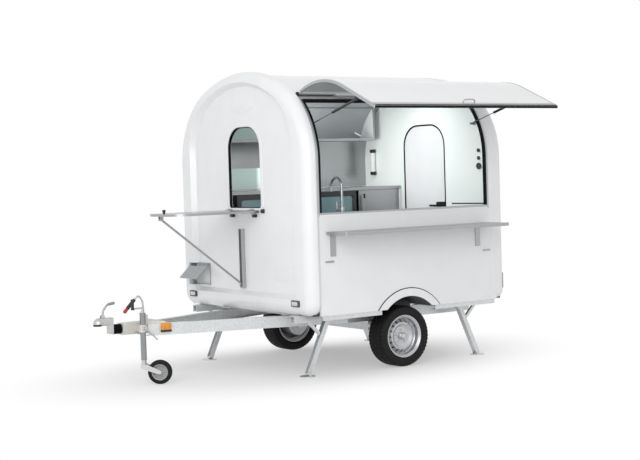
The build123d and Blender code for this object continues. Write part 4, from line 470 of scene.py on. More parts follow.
grey_plastic, *parts = start("grey_moulded_plastic", {"IOR": 1.5})
mottle(*parts, 20, 3.0, ("#a9abad", "#8f9193"), (0.38, 0.55))
rim = aim(hub, hub_line, turned([57, 66.5, 69, 69, 66.5, 57], [-24, -27, -28.5, 28.5, 27, 24], 72))
skin("jockey_rim", "jockey_roller", rim, grey_plastic, wrap_u=True)
bush = aim(hub, hub_line, turned([6.3, 15, 17, 17, 15, 6.3], [-31, -31, -28, 28, 31, 31], 48))
jockey_hub = skin("jockey_hub", "jockey_roller", bush, grey_plastic, wrap_u=True)
web = aim(hub, hub_line, turned([16, 58, 58, 16], [-3, -3, 3, 3], 48))
skin("jockey_web", "jockey_roller", web, grey_plastic, wrap_u=True)
spoke_turn = np.arange(5)[:, None, None] * 2 * np.pi / 5
reach = np.linspace(15, 60, 10)[:, None]
spoke = rounded(1, 1, 0.3)
wide = (13 + 5 * ((reach - 37) / 22) ** 2) * spoke[:, 0]
thick = (22 - 0.12 * reach) * spoke[:, 1]
a = reach * np.cos(spoke_turn) - wide * np.sin(spoke_turn)
b = reach * np.sin(spoke_turn) + wide * np.cos(spoke_turn)
spokes = aim(hub, hub_line, (a, b, np.broadcast_to(thick, a.shape)))
skin("jockey_spokes", "jockey_roller", spokes, grey_plastic)
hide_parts("jockey_wheel")


# Serving window in the front end: a white moulded surround with a black rubber seal in the opening's edge.
# The opening has large round top corners; the surround stands a few millimetres proud of the panel.
def doorway(y0, y1, z0, z1, top, low, grow=0.0):
    """An upright opening as a closed loop of (y, z): quarter circles of radius top and low at its corners,
    the whole grown outwards by grow."""
    top, low = top + grow, low + grow
    turn = np.linspace(0, np.pi / 2, 9)
    cos, sin = np.cos(turn), np.sin(turn)
    y0, y1, z0, z1 = y0 - grow, y1 + grow, z0 - grow, z1 + grow
    y = [y1 - top + top * cos, y0 + top - top * sin, y0 + low - low * cos, y1 - low + low * sin]
    z = [z1 - top + top * sin, z1 - top + top * cos, z0 + low - low * sin, z0 + low - low * cos]
    return np.concatenate(y), np.concatenate(z)


def evenly(y, z, count):
    """A closed loop of (y, z) read again at equal steps along its length, so long runs get points too."""
    y, z = np.append(y, y[0]), np.append(z, z[0])
    run = np.concatenate([[0], np.cumsum(np.hypot(np.diff(y), np.diff(z)))])
    at = np.arange(count) * run[-1] / count
    return np.interp(at, run, y), np.interp(at, run, z)


panel_x = -1008.0
window = (-280.0, 230.0, 1402.0, 2102.0, 190.0, 25.0)
for name, slot, finish, section, inward, grow in (
    ("window_surround", "white_shell", gelcoat, rounded(34, 9, 4), -1, 18),
    ("window_seal", "rubber_black", rubber, rounded(9, 26, 3.5), 14, -3),
):
    loop = place(panel_x + inward, *evenly(*doorway(*window, grow=grow), 160))
    skin(name, "trailer", carry(section, loop, (1, 0, 0), closed=True), finish, wrap_u=True)


# Flush panels on the front end: the oval plate over the window, left bare, and the service door near the
# lower corner, both gelcoated like the shell and hardly proud of it.
def pad(loop_at, thick, edge):
    """A flat plate with a rounded rim: loop_at(inset) gives its outline, and the rim is a quarter circle, so
    the outline at height h = thick − edge·(1 − cos t) is inset by edge·(1 − sin t)."""
    turn = np.linspace(np.pi / 2, 0, 5)
    inset = np.concatenate([[0.0], edge * (1 - np.sin(turn))])
    height = np.concatenate([[0.0], thick - edge * (1 - np.cos(turn))])
    loops = np.stack([loop_at(i) for i in inset])
    return loops[..., 0], loops[..., 1], np.broadcast_to(height[:, None], loops.shape[:2])


def oval(width, height):
    """An ellipse of the given width and height, as a function of how far it is moved inwards."""
    turn = np.arange(72) * 2 * np.pi / 72
    unit = np.stack([np.cos(turn), np.sin(turn)], -1)
    return lambda inset: (np.array([width, height]) / 2 - inset) * unit


def board(width, height, radius):
    """A rectangle with round corners, as a function of how far it is moved inwards."""
    return lambda inset: rounded(width - 2 * inset, height - 2 * inset, max(radius - inset, 0.2))


for name, outline, thick, edge, y, z in (
    ("oval_plate", oval(340, 120), 2.5, 2, -13, 2284),
    ("service_door", board(285, 97, 10), 2.2, 1.6, -580, 843),
):
    a, b, h = pad(outline, thick, edge)
    skin(name, "trailer", place(panel_x - h, y + a, z + b), gelcoat)

# Lamps: white position lamps at the front corners, amber ones on the drawbar and red clusters at the rear.
# Each is a plastic housing with a glossy acrylic lens, ribbed where it is clear and faceted where it is dyed.
clear, tree, shader, spot = start(
    "clear_lamp_acrylic", {"IOR": 1.49, "Roughness": 0.12, "Transmission Weight": 0.25, "Coat Weight": 0.6}
)
rib_mm, facet_mm, wave_mm = 4, 11, 314
ribs = add(tree, "ShaderNodeTexWave", {"bands_direction": "Z"}, {"Vector": spot, "Scale": wave_mm / rib_mm})
frost = add(
    tree, "ShaderNodeMix", {"data_type": "RGBA"},
    {0: ribs.outputs["Fac"], 6: linear("#e4e6e8"), 7: linear("#f2f3f4")},
)
ridge = add(tree, "ShaderNodeBump", None, {"Height": ribs.outputs["Fac"], "Strength": 0.5, "Distance": 0.001})
tree.links.new(frost.outputs[2], shader.inputs["Base Color"])
tree.links.new(ridge.outputs["Normal"], shader.inputs["Normal"])


def dyed_lens(name, light, deep):
    """A lens of dyed acrylic: the distance within square facets mixes two tones and drives a bump."""
    material, tree, shader, spot = start(name, {"IOR": 1.49, "Roughness": 0.14, "Coat Weight": 0.6})
    pattern = {"Vector": spot, "Scale": 1000 / facet_mm, "Randomness": 0.0}
    facets = add(tree, "ShaderNodeTexVoronoi", {"distance": "MANHATTAN"}, pattern).outputs["Distance"]
    tone = add(tree, "ShaderNodeMix", {"data_type": "RGBA"}, {0: facets, 6: linear(light), 7: linear(deep)})
    cut = add(tree, "ShaderNodeBump", None, {"Height": facets, "Strength": 0.5, "Distance": 0.002})
    tree.links.new(tone.outputs[2], shader.inputs["Base Color"])
    tree.links.new(cut.outputs["Normal"], shader.inputs["Normal"])
    return material


amber = dyed_lens("amber_lamp_acrylic", "#eb9d05", "#cf7f02")
ruby = dyed_lens("red_lamp_acrylic", "#b3141c", "#7d0b12")
lamp_y, lamp_z, tail_y, tail_z = 825.0, 620.0, 880.0, 667
front_x, rear_x = -1053.0, 1127.0
lean = np.radians(18.0)
arm_x, arm_y, side_x = -2046, 110, -1905.0
side_y = arm_y + (side_x - arm_x) * np.tan(lean)
for side, label in both_sides:
    a, b, h = pad(board(110, 52, 8), 36, 4)
    case = place(front_x + 20 - h, side * lamp_y + a, lamp_z + b)
    housing = skin("front_lamp_housing_" + label, "trailer", case, liner)
    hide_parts("marker_lamps")
    a, b, h = pad(board(82, 34, 6), 22, 5)
    cover = place(front_x + 2 - h, side * lamp_y + a, lamp_z + b)
    skin("front_lamp_lens_" + label, "trailer", cover, clear)
    for name, slot, finish, size, thick, edge, back, rise in (
        ("tail_lamp_housing_", "black_plastic", plastic, (110, 146, 14), 44, 5, -22, 0),
        ("tail_lamp_lens_", "lamp_lens", ruby, (98, 84, 10), 24, 6, 2, 23),
        ("turn_lamp_lens_", "lamp_lens", amber, (98, 44, 10), 24, 6, 2, -44),
    ):
        a, b, h = pad(board(*size), thick, edge)
        cluster = place(rear_x + back + h, side * tail_y + a, tail_z + rise + b)
        skin(name + label, "trailer", cluster, finish)
    for name, width, height, z, deep, finish, slot in (
        ("side_lamp_base_", 90, 20, 428, 31.5, plastic, "black_plastic"),
        ("side_lamp_lens_", 88, 58, 463, 30.5, amber, "lamp_lens"),
    ):
        a, b, h = pad(board(width, height, 6), deep, 6)
        x = side_x + a * np.cos(lean) - h * np.sin(lean)
        y = side_y + a * np.sin(lean) + h * np.cos(lean)
        skin(name + label, "trailer", place(x, side * y, z + b), finish)


# Power inlet: a stainless box let into the front end behind a flap. Table, shelf and counters are folded from
# the same sheet. Brushed stainless steel shows fine lines along it and blurs reflections across them.
def lined_metal(name, metallic, lines_mm, detail, tones, haze_mm, haze_detail, rough):
    """A metal with fine lines: a noise stretched to three sizes mixes two tones, and a broader noise varies
    the roughness between its two ends. Returns the material, its tree, its shader and the lines."""
    material, tree, shader, spot = start(name, {"Metallic": metallic})
    stretch = add(
        tree, "ShaderNodeMapping", None, {"Vector": spot, "Scale": tuple(1000 / size for size in lines_mm)}
    )
    drawn = {"Vector": stretch.outputs["Vector"], "Scale": 1.0, "Detail": detail}
    lines = add(tree, "ShaderNodeTexNoise", None, drawn).outputs["Fac"]
    smudge = {"Vector": spot, "Scale": 1000 / haze_mm, "Detail": haze_detail}
    haze = add(tree, "ShaderNodeTexNoise", None, smudge).outputs["Fac"]
    colours = {0: lines, 6: linear(tones[0]), 7: linear(tones[1])}
    tone = add(tree, "ShaderNodeMix", {"data_type": "RGBA"}, colours)
    blur = add(tree, "ShaderNodeMapRange", None, {"Value": haze, "To Min": rough[0], "To Max": rough[1]})
    tree.links.new(tone.outputs[2], shader.inputs["Base Color"])
    tree.links.new(blur.outputs["Result"], shader.inputs["Roughness"])
    return material, tree, shader, lines


stainless, tree, shader, lines = lined_metal(
    "brushed_stainless_steel", 1.0, (250, 250, 1.2), 3.0, ("#9c9fa1", "#b9bbbc"), 200, 3.0, (0.22, 0.4)
)
brush = add(tree, "ShaderNodeBump", None, {"Height": lines, "Strength": 0.12, "Distance": 0.0003})
tree.links.new(brush.outputs["Normal"], shader.inputs["Normal"])
dress(stainless, "inlet_box", "front_table", "table_prop", "serving_shelf", "shelf_brackets")
dress(stainless, "near_counter", "far_counter", "overhead_shelf", "steel_door")

# Front table: the window's shutter, a stainless tray hinged under the sill, with a black knob on its latch,
# black hinge covers and a latch block on the panel. A round prop holds it from a channel on the panel.
knob_x, knob_z = -1797, 1382.5
radius = [0.5, 11, 11, 10.4, 10.4, 13, 15, 15, 12.5, 7, 0.5]
height = [0, 0, 3, 5, 14, 18, 23, 28, 33, 35.6, 36]
knob = aim((knob_x, 0, knob_z), (0, 0, 1), turned(radius, height, 40))
skin("table_knob", "table", knob, plastic)
for y, z, wide, tall, name in (
    (-184.0, 1335, 50, 26, "table_hinge_cover_near"),
    (174.0, 1335, 50, 26, "table_hinge_cover_far"),
    (-313.0, 1376, 32, 34, "table_latch_block"),
):
    a, b, h = pad(board(wide, tall, 5), 24, 4)
    skin(name, "trailer", place(panel_x - h, y + a, z + b), plastic)

# Entrance door in the rear end: a gelcoated leaf in an opening shaped like the window's. A black rubber seal
# pressed on the opening's edge shows inside and out.
rear_panel_x, rear_inner_x = 1102.0, 1072.0
entrance = (-250.0, 332.0, 545.0, 2102.0, 190.0, 12.0)
y, z = evenly(*doorway(*entrance, grow=7), 220)
for x, label in ((rear_inner_x - 2, "inside"), (rear_panel_x + 2, "outside")):
    seal = carry(rounded(15, 9, 4), place(x, y, z), (1, 0, 0), closed=True)
    skin("door_seal_" + label, "trailer", seal, rubber, wrap_u=True)

# Hatch frame: extruded aluminium posts and rails set in the side opening, with a thick black seal round the
# inside. Mill-finish aluminium is pale, with faint lines along the extrusion. The table's rail is the same.
aluminium = lined_metal(
    "extruded_aluminium", 0.85, (400, 3, 3), 2.0, ("#a9acae", "#c3c5c6"), 90, 4.0, (0.3, 0.5)
)[0]
dress(aluminium, "hatch_frame", "wall_rail")
open_x0, open_x1, sill_z = -900.0, 906.0, 1358.0
top_angle = np.radians(43.0)
post_arc = np.linspace(np.pi / 2, top_angle, 33)
post_y = np.concatenate([np.full(12, -half_width), -haunch_y - haunch_r * np.sin(post_arc)[1:]])
post_z = np.concatenate([np.linspace(sill_z + 1, spring_z, 12), spring_z + haunch_r * np.cos(post_arc)[1:]])
# The seal's section: millimetres through the wall, then a share of its reach to either side of its line.
hook = np.array([[0, -1], [-1.5, -0.95], [-1.5, 0.6], [-1, 1], [27, 1], [29, 0.8], [29, 0.05], [0, 0.05]])
for x, way, over, into, label in ((open_x0, 1, 11.0, 10.0, "front"), (open_x1, -1, 10.0, 8.0, "rear")):
    section = np.stack([hook[:, 0], way * hook[:, 1] * np.where(hook[:, 1] < 0, over, into)], -1)
    seal = carry(section, place(x, post_y, post_z), (1, 0, 0))
    skin("hatch_seal_" + label, "trailer", seal, rubber)
across_x = np.linspace(open_x0 + 6, open_x1 - 6, 40)
top = place(across_x, -haunch_y - haunch_r * np.sin(top_angle), spring_z + haunch_r * np.cos(top_angle))
head = np.stack([hook[:, 1] * np.where(hook[:, 1] < 0, 6.0, 12.0), -hook[:, 0]], -1)
outward = (0, -np.sin(top_angle), np.cos(top_angle))
skin("hatch_seal_top", "trailer", carry(head, top, outward), rubber)
sill_y, cover_drop = -985, 23
sill = place(np.linspace(open_x0 + 7, open_x1 - 7, 30), sill_y, sill_z + 1)
skin("hatch_sill", "trailer", carry(rounded(34, 3, 1.2), sill, (0, 0, 1)), stainless)
a, b, h = pad(board(open_x1 - open_x0 + 30, 15, 4), 1.7, 0.7)
sill_cover = place((open_x0 + open_x1) / 2 + a, -half_width - h, sill_z - cover_drop + b)
skin("hatch_sill_cover", "trailer", sill_cover, gelcoat)

# Hatch: a curved gelcoated panel that lifts on a long hinge, bound in aluminium on its ends and lip, lined in
# sheet coloured grey as painted shade, with a rubber bead on the lip and a bent pull handle. All of it is
# drawn shut, then turned open.
hinge_angle, hinge_r = np.radians(38.0), haunch_r + 14
hinge_y, hinge_z = -haunch_y - hinge_r * np.sin(hinge_angle), spring_z + hinge_r * np.cos(hinge_angle)
hatch_x0, hatch_x1, hinge_x1, hatch_low = -912.0, 1046.0, 998.0, 1344.0
hatch_turn = np.radians(-66.0)


def opened(grid):
    """Turns points of the shut hatch about its hinge line to where it stands open."""
    pivot = place(0, hinge_y, hinge_z)
    dy, dz = grid[..., 1] - pivot[1], grid[..., 2] - pivot[2]
    y = pivot[1] + dy * np.cos(hatch_turn) - dz * np.sin(hatch_turn)
    z = pivot[2] + dy * np.sin(hatch_turn) + dz * np.cos(hatch_turn)
    return np.stack([grid[..., 0], y, z], -1)


def hatch_section(lift, start_deg, low):
    """The shut hatch's section as a path of (y, z), lifted off the body: haunch arc, then straight down."""
    arc = np.linspace(np.radians(start_deg), np.pi / 2, 41)
    y = np.concatenate([-haunch_y - (haunch_r + lift) * np.sin(arc), np.full(11, -half_width - lift)])
    z = np.concatenate([spring_z + (haunch_r + lift) * np.cos(arc), np.linspace(spring_z, low, 12)[1:]])
    return y, z


y, z = hatch_section(14.5, 40.5, hatch_low + 3)
for x, label in ((hatch_x0 + 6, "front"), (hatch_x1 - 6, "rear")):
    edge = carry(rounded(25, 16, 3), place(x, y, z), (1, 0, 0))
    skin("hatch_edge_" + label, "hatch", opened(edge), aluminium)
lip_x = np.linspace(hatch_x0 + 1, hatch_x1 - 1, 40)
lip = carry(rounded(7, 36, 3), place(lip_x, -half_width - 26, hatch_low + 38), (0, 0, 1))
skin("hatch_lip", "hatch", opened(lip), aluminium)
bead_wide, bead_high = 21, 6
bead_s = np.linspace(0, bead_wide, 13)
bead_h = bead_high * np.sqrt(np.sin(np.pi * bead_s / bead_wide)) * (1 - bead_s / (bead_wide + 1))
under = np.stack([bead_s, -bead_h], -1)
back = np.stack([bead_s[::-1], np.full(13, 2.0)], -1)
trim = np.concatenate([under, [[22.4, 4.0], [23.6, 9.0], [23.6, 19.0], [21.0, 20.0]], back])
bead_x = np.linspace(hatch_x0 + 2, hatch_x1 - 2, 40)[:, None]
bead_grid = place(bead_x, -half_width - 3.5 - trim[:, 0], hatch_low + trim[:, 1])
skin("hatch_lip_rubber", "hatch", opened(bead_grid), rubber)

# The grey of this sheet is painted shade: it stands for the shade under the open hatch, on the ceiling and in
# the back of the overhead shelf.
shade_grey_sheet, *parts = start("grey_sheet_painted_shade", {"Roughness": 0.42, "IOR": 1.5})
mottle(*parts, 300, 2.0, ("#b3b8ba", "#a2a7a9"))
grain(*parts, 6, 3.0, 0.1, 0.5)
lining_path = place((hatch_x0 + hatch_x1) / 2, *hatch_section(2.6, 42.5, hatch_low + 4))
inner = carry(rounded(0.7, hatch_x1 - hatch_x0 - 30, 0.3), lining_path, (1, 0, 0))
skin("hatch_lining", "hatch", opened(inner), shade_grey_sheet)

handle_mid, handle_half, handle_depth, handle_rise = 88, 62, 30, 58
handle_turn = np.linspace(0, np.pi, 33)
handle_x = handle_mid - handle_half * np.sign(np.cos(handle_turn)) * np.abs(np.cos(handle_turn)) ** 0.5
handle_y = -half_width - 27 - handle_depth * np.abs(np.sin(handle_turn)) ** 0.6
handle = carry(rounded(11, 11, 5), place(handle_x, handle_y, hatch_low + handle_rise), (0, 0, 1))
skin("hatch_handle", "hatch", opened(handle), aluminium)
hinge_end = turned([0.5, 13, 15, 15, 12, 5.4, 5.4, 0.5], [0, 0, 2, 15, 18, 18.4, 16, 16], 40)
for x, way, label in ((hatch_x0 - 1, -1, "front"), (hinge_x1 + 1, 1, "rear")):
    cap = aim((x, hinge_y, hinge_z), (way, 0, 0), hinge_end)
    skin("hinge_cap_" + label, "trailer", cap, plastic)

# Gas struts: black painted cylinders on the hatch with ground chrome rods, one at each end of the opening,
# their heads under black covers. Tap, jockey tube, coupling handle and inlet flap are chromed like the rods.
strut_paint, *parts = start("black_strut_paint", {"IOR": 1.5, "Coat Weight": 0.3})
mottle(*parts, 20, 4.0, ("#0f0f10", "#1c1c1d"), (0.25, 0.4))
chrome, *parts = start("polished_chrome", {"Metallic": 1.0})
mottle(*parts, 30, 3.0, ("#a2a6a9", "#8b8f92"), (0.06, 0.18))
dress(strut_paint, "strut_cylinders")
dress(chrome, "strut_rods", "tap_spout", "tap_lever", "jockey_tube", "coupling_handle", "inlet_flap")
head_gap, head_y, head_z = 12.3, -980.5, spring_z - 180
for x, away, label in ((-872.0, -1, "front"), (878.0, 1, "rear")):
    a, b, h = pad(board(42, 38, 8), 5.4, 2)
    cover = place(x + away * (head_gap + h), head_y + a, head_z + b)
    skin("strut_head_cover_" + label, "hatch", opened(cover), plastic)

# Brake drums: a black painted ring behind each wheel disc. It stands for the drum and, in part, for the shade
# behind the disc: its black is partly painted shade, so the row of vent holes shows dark. It turns with the
# wheel and carries the same paint as the struts.
for side, label in both_sides:
    a, b, h = turned([101, 142, 142, 101], [-8, -8, -2, -2], 64)
    drum = place(a, side * (wheel_y + h), axle_z + b)
    skin("brake_drum_painted_shade_" + label, "wheel_" + label, drum, strut_paint, wrap_u=True)

# Serving shelf: a stainless tray that folds down on two brackets. Two short stainless stops are fixed to the
# side wall below it.
stop_z = 957
for x, label in ((-828.0, "front"), (892.0, "rear")):
    a, b, h = pad(board(84, 14, 5), 12, 4)
    skin("shelf_stop_" + label, "trailer", place(x + a, -half_width - h, stop_z + b), stainless)


# Inside lining: pale mint glass-fibre sheet on the two end walls, a greener one as splash back and behind the
# front of the overhead shelf, sheet coloured grey as painted shade behind its rear and on the ceiling, and
# stainless sheet on the far wall. The glass-fibre sheet is glossy, with a faint orange-peel surface.
def glass_fibre_sheet(name, dark, light):
    """A glossy wall sheet whose tone drifts between two colours over half a metre, with 8 mm orange peel."""
    material, *parts = start(name, {"Roughness": 0.24, "IOR": 1.5})
    mottle(*parts, 500, 1.0, (dark, light))
    grain(*parts, 8, 2.0, 0.06, 0.5)
    return material


def polar(y, z, centre, angle):
    """The distance from a centre to a closed loop in each direction; the centre sees all of the loop."""
    way = np.arctan2(z - centre[1], y - centre[0])
    reach = np.hypot(y - centre[0], z - centre[1])
    order = np.argsort(way)
    return np.interp(angle, way[order], reach[order], period=2 * np.pi)


def wall_sheet(x, thick, opening):
    """A flat sheet at x that fills the body's section round an opening: ruled between the two loops, each
    read in the same directions from the opening's middle, and closed to a solid of the given thickness."""
    low_z, count = 548.0, 240
    y, z = arch_path(-32, low_z)
    outer = evenly(np.append(y, 0.0), np.append(z, low_z), 720)
    hole = evenly(*opening, 720)
    centre = (hole[0].mean(), hole[1].mean())
    angle = np.arange(count) * 2 * np.pi / count - np.pi
    out_r, in_r = polar(*outer, centre, angle), polar(*hole, centre, angle)
    radius = np.stack([in_r, out_r, out_r, in_r])
    depth = np.array([0.0, 0.0, thick, thick])[:, None]
    return place(x + depth, centre[0] + radius * np.cos(angle), centre[1] + radius * np.sin(angle))


mint = glass_fibre_sheet("mint_wall_sheet", "#eaf3f0", "#f5faf8")
green = glass_fibre_sheet("green_splash_sheet", "#c3d9d2", "#d3e5df")
front_inner_x = -977.5
for x, opening, label in ((rear_inner_x - 2.5, entrance, "rear"), (front_inner_x, window, "front")):
    sheet = wall_sheet(x, 2.0, doorway(*opening, grow=1))
    skin(label + "_wall_sheet", "trailer", sheet, mint, wrap_u=True)
room_x, room_length = 47.0, 2044
y, z = arch_path(-31.4, 1545, start_deg=36.0)
for part, finish, slot, label in (
    (y < 900, shade_grey_sheet, "wall_white", "ceiling_sheet"), (y > 880, stainless, "stainless", "far_wall_sheet")
):
    sheet = carry(rounded(1.6, room_length, 0.7), place(room_x, y[part], z[part]), (1, 0, 0))
    skin(label, "trailer", sheet, finish)
splash_x, splash_y, splash_z = -440, 967.6, 1650
a, b, h = pad(board(905, 200, 4), 1.6, 0.6)
skin("splash_sheet", "trailer", place(splash_x + a, splash_y - h, splash_z + b), green)
shelf_x0, shelf_x1 = ((edge.x - axle[0]) * 1000 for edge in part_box("overhead_shelf"))
shelf_y, shelf_z, back_r = 702.0, 1994.0, haunch_r - 40.0
arc = np.radians(np.linspace(37.5, 72.0, 24))
back_y, back_z = haunch_y + back_r * np.sin(arc), spring_z + back_r * np.cos(arc)
for x0, x1, label, finish in ((shelf_x0 + 16, 14, "front", green), (31, shelf_x1 - 16, "rear", shade_grey_sheet)):
    back = carry(rounded(1.6, x1 - x0, 0.7), place((x0 + x1) / 2, back_y, back_z), (1, 0, 0))
    skin("overhead_back_" + label, "trailer", back, finish)
reach = np.array([0.02, 0.995, 0.995, 0.02])
end_y = shelf_y + reach * (back_y[:, None] - shelf_y)
end_z = shelf_z + reach * (back_z[:, None] - shelf_z)
end_x = shelf_x1 - 15.4 - np.array([0.0, 0.0, 1.6, 1.6])
skin("overhead_end_sheet", "trailer", place(end_x, end_y, end_z), mint)

# Fridges: a black-framed glass-door cooler and a stainless one under the far counter. The glass is tinted and
# double, so it mirrors the room over a dim blue-green inside. Two white trims cover the corner at the rear.
lacquer, *parts = start("black_fridge_lacquer", {"IOR": 1.5, "Coat Weight": 0.4})
mottle(*parts, 50, 4.0, ("#16181a", "#232628"), (0.22, 0.38))
dress(lacquer, "glass_door_front", "glass_door_rear", "fridge_cabinets")
teal, *parts = start("tinted_fridge_glass", {"IOR": 1.52, "Roughness": 0.05, "Coat Weight": 0.5})
mottle(*parts, 250, 2.0, ("#46636a", "#67858a"))
glass_x0, glass_x1, door_y, door_z0, door_z1 = -822.0, 520.0, 402.0, 637.0, 1506.0
middle_x, door_gap, frame_wide = (glass_x0 + glass_x1) / 2, 2, 46
for x0, x1, label in ((glass_x0, middle_x, "front"), (middle_x, glass_x1, "rear")):
    wide, tall = x1 - x0 - 2 * (door_gap + frame_wide), door_z1 - door_z0 - 2 * frame_wide
    a, b, h = pad(board(wide, tall, 26), 4, 1.5)
    pane = place((x0 + x1) / 2 + a, door_y + 7.5 - h, (door_z0 + door_z1) / 2 + b)
    skin("fridge_pane_" + label, "glass_" + label, pane, teal)
switch_x, switch_z = 612, 1452
a, b, h = pad(board(24, 44, 5), 6, 2)
skin("fridge_switch", "steel", place(switch_x + a, door_y - h, switch_z + b), plastic)
trim_y, trim_z = 400, 1075
for x, label in ((1044.0, "left"), (1063.0, "right")):
    a, b, h = pad(board(12, 860, 4), 10, 3)
    skin("corner_trim_" + label, "trailer", place(x + a, trim_y - h, trim_z + b), gelcoat)

# Small fittings inside: the lamp tube and the sockets on the rear wall, the lock case on the door, the stay
# of the overhead shelf's flap, and the white upstand of the near counter with its dark edging.
tube_x, tube_y = 1040, 805
tube = turned([0.5, 24, 25, 25, 24, 0.5], [18, 18, 24, 226, 232, 232], 40)
skin("wall_lamp_tube", "trailer", aim((tube_x, tube_y, 1650), (0, 0, 1), tube), gelcoat)
tube_end = turned([0.5, 20, 27, 28, 28, 25.4, 25.4, 0.5], [0, 0, 3, 8, 32, 34, 22, 22], 40)
for z, way, label in ((1648.0, 1, "low"), (1902.0, -1, "high")):
    cap = aim((tube_x, tube_y, z), (0, 0, way), tube_end)
    skin("wall_lamp_end_" + label, "trailer", cap, plastic)
socket_x, socket_y = 1069.6, -738
for z, wide, label in ((1848.0, 17, "upper"), (1778.0, 17, "middle"), (1705.0, 30, "lower")):
    a, b, h = turned([0.5, wide - 8, wide - 6, wide - 1, wide, wide, 0.5], [6, 6, 12, 12, 10, 0, 0], 40)
    socket = place(socket_x - h, socket_y + a, z + b)
    skin("wall_socket_" + label, "trailer", socket, liner)
lock_x, lock_y, lock_z = 1072.5, -192, 1358
a, b, h = pad(board(106, 44, 8), 22, 5)
skin("door_lock_case", "door", place(lock_x - h, lock_y + a, lock_z + b), plastic)
dress(plastic, "door_handle")
stay = aim((808, 783, 2072), (0.5, -0.7, -0.5), turned([0.5, 8, 8, 0.5], [0, 0, 70, 70], 24))
skin("flap_stay", "trailer", stay, gelcoat)
edge_x, edge_y = 974.0, np.linspace(-960, -460, 24)
upstand = carry(rounded(6, 22, 2), place(edge_x, edge_y, 1353.0), (0, 0, 1))
skin("counter_upstand", "trailer", upstand, gelcoat)
edging = carry(rounded(9, 11, 3), place(edge_x, edge_y, 1368.0), (0, 0, 1))
skin("counter_edging", "trailer", edging, rubber)

# Floor: plywood with a dark brown phenolic film, rolled with a fine mesh against slipping. The film is half
# matt, duller in patches where people stand.
phenolic, tree, shader, spot = start("filmed_plywood", {"IOR": 1.55})
mottle(tree, shader, spot, 300, 5.0, ("#2b2725", "#403b38"), (0.35, 0.65))
mesh_mm = 6
rolled = add(
    tree, "ShaderNodeTexVoronoi", {"feature": "DISTANCE_TO_EDGE"},
    {"Vector": spot, "Scale": 1000 / mesh_mm, "Randomness": 0.15},
)
tread_print = add(
    tree, "ShaderNodeBump", None, {"Height": rolled.outputs["Distance"], "Strength": 0.4, "Distance": 0.0008}
)
tree.links.new(tread_print.outputs["Normal"], shader.inputs["Normal"])
dress(phenolic, "floor_panel")

# Studio: white paper that fades into the white backdrop, an even sky, one broad lamp off the near front
# corner and two small ones inside. Sky and paper are white to the eye, in mirrors and through glass, and
# dimmer as a light, so that pale colours stay below white.
floor_size = 60.0
floor_mesh = bpy.data.meshes.new("studio_floor")
floor_corners = np.array([[-1, -1, 0], [1, -1, 0], [1, 1, 0], [-1, 1, 0]]) * floor_size
floor_mesh.from_pydata((floor_corners + axle).tolist(), [], [[0, 1, 2, 3]])
floor = bpy.data.objects.new("studio_floor", floor_mesh)
bpy.context.scene.collection.objects.link(floor)


def seen_rays(tree):
    """One for a ray from the eye, a mirror or through glass, else nought: the greatest of the three."""
    rays = add(tree, "ShaderNodeLightPath").outputs
    seen = rays["Is Camera Ray"]
    for kind in ("Is Glossy Ray", "Is Transmission Ray"):
        seen = add(tree, "ShaderNodeMath", {"operation": "MAXIMUM"}, {0: seen, 1: rays[kind]}).outputs[0]
    return seen


paper, tree, shader, spot = start(
    "white_studio_paper", {"Base Color": linear("#e9e9e9"), "Roughness": 0.9, "Specular IOR Level": 0.0}
)
oblong = (0.6, 1.0, 1.0)
middle = tuple(place(-500.0, -100.0, 0.0) * oblong)
shrunk = add(tree, "ShaderNodeVectorMath", {"operation": "MULTIPLY"}, {0: spot, 1: oblong})
away = add(
    tree, "ShaderNodeVectorMath", {"operation": "DISTANCE"}, {0: shrunk.outputs["Vector"], 1: middle}
)
fade = add(
    tree, "ShaderNodeMapRange", {"interpolation_type": "SMOOTHSTEP"},
    {"Value": away.outputs["Value"], "From Min": 0.7, "From Max": 1.8, "To Min": 0.36, "To Max": 1.0},
)
faded = add(
    tree, "ShaderNodeMath", {"operation": "MULTIPLY"}, {0: fade.outputs["Result"], 1: seen_rays(tree)}
)
white = add(tree, "ShaderNodeEmission", None, {"Color": (1, 1, 1, 1), "Strength": 1.0})
sheet = add(
    tree, "ShaderNodeMixShader", None,
    {0: faded.outputs[0], 1: shader.outputs["BSDF"], 2: white.outputs["Emission"]},
)
tree.links.new(sheet.outputs["Shader"], tree.nodes["Material Output"].inputs["Surface"])
floor_mesh.materials.append(paper)

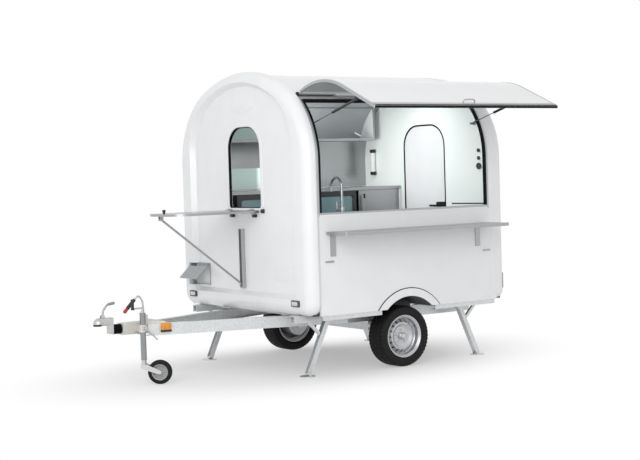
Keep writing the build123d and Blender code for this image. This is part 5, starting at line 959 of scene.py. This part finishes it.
world = bpy.data.worlds.new("studio_sky")
bpy.context.scene.world = world
world.use_nodes = True
tree = world.node_tree
glow = add(tree, "ShaderNodeMapRange", None, {"Value": seen_rays(tree), "To Min": 0.77, "To Max": 1.0})
backing = tree.nodes["Background"]
backing.inputs["Color"].default_value = (1, 1, 1, 1)
tree.links.new(glow.outputs["Result"], backing.inputs["Strength"])

for name, size, watts, at, tilt, turn in (
    ("soft_box", (6.0, 5.0), 295.0, (-5.8, -6.0, 3.5), 70.0, -44.0),
    ("ceiling_lamp", (1.5, 0.5), 14.0, tuple(place(40.0, -100.0, 2440.0)), 0.0, 0.0),
    ("inside_lamp", (0.6, 0.5), 8.5, tuple(place(-250.0, 540.0, 1760.0)), 90.0, -90.0),
):
    lamp_data = bpy.data.lights.new(name, "AREA")
    lamp_data.shape = "RECTANGLE"
    lamp_data.size, lamp_data.size_y = size
    lamp_data.energy = watts
    lamp = bpy.data.objects.new(name, lamp_data)
    lamp_aim = Matrix.Rotation(np.radians(turn), 4, "Z") @ Matrix.Rotation(np.radians(tilt), 4, "X")
    lamp.matrix_world = Matrix.Translation(at) @ lamp_aim
    lamp.visible_camera = False
    lamp.visible_glossy = name == "soft_box"
    bpy.context.scene.collection.objects.link(lamp)

# Camera: stands off the serving side's front corner at eye height with a long lens, as in the photograph.
# The angles are in radians, and the focal length is in pixels of a picture 640 pixels wide.
yaw, pitch, roll = 0.617415, -0.0412393, -0.0306334
focal_px, picture_px, sensor_mm = 1395.0135, 640, 36.0
sight = np.array([np.sin(yaw) * np.cos(pitch), np.cos(yaw) * np.cos(pitch), np.sin(pitch)])
level = np.array([np.cos(yaw), -np.sin(yaw), 0.0])
upright = np.cross(level, sight)
across = level * np.cos(roll) + upright * np.sin(roll)
over = upright * np.cos(roll) - level * np.sin(roll)
camera_data = bpy.data.cameras.new("camera")
camera_data.sensor_width = sensor_mm
camera_data.lens = focal_px / picture_px * sensor_mm
camera_data.clip_end = 200.0
camera = bpy.data.objects.new("camera", camera_data)
stand = place(-7484.827, -10254.040, 1690.604)
turn = np.stack([across, over, -sight], -1)
camera.matrix_world = Matrix([[*row, at] for row, at in zip(turn.tolist(), stand.tolist())] + [[0, 0, 0, 1]])
bpy.context.scene.collection.objects.link(camera)
bpy.context.scene.camera = camera
bpy.context.scene.view_settings.view_transform = "Standard"
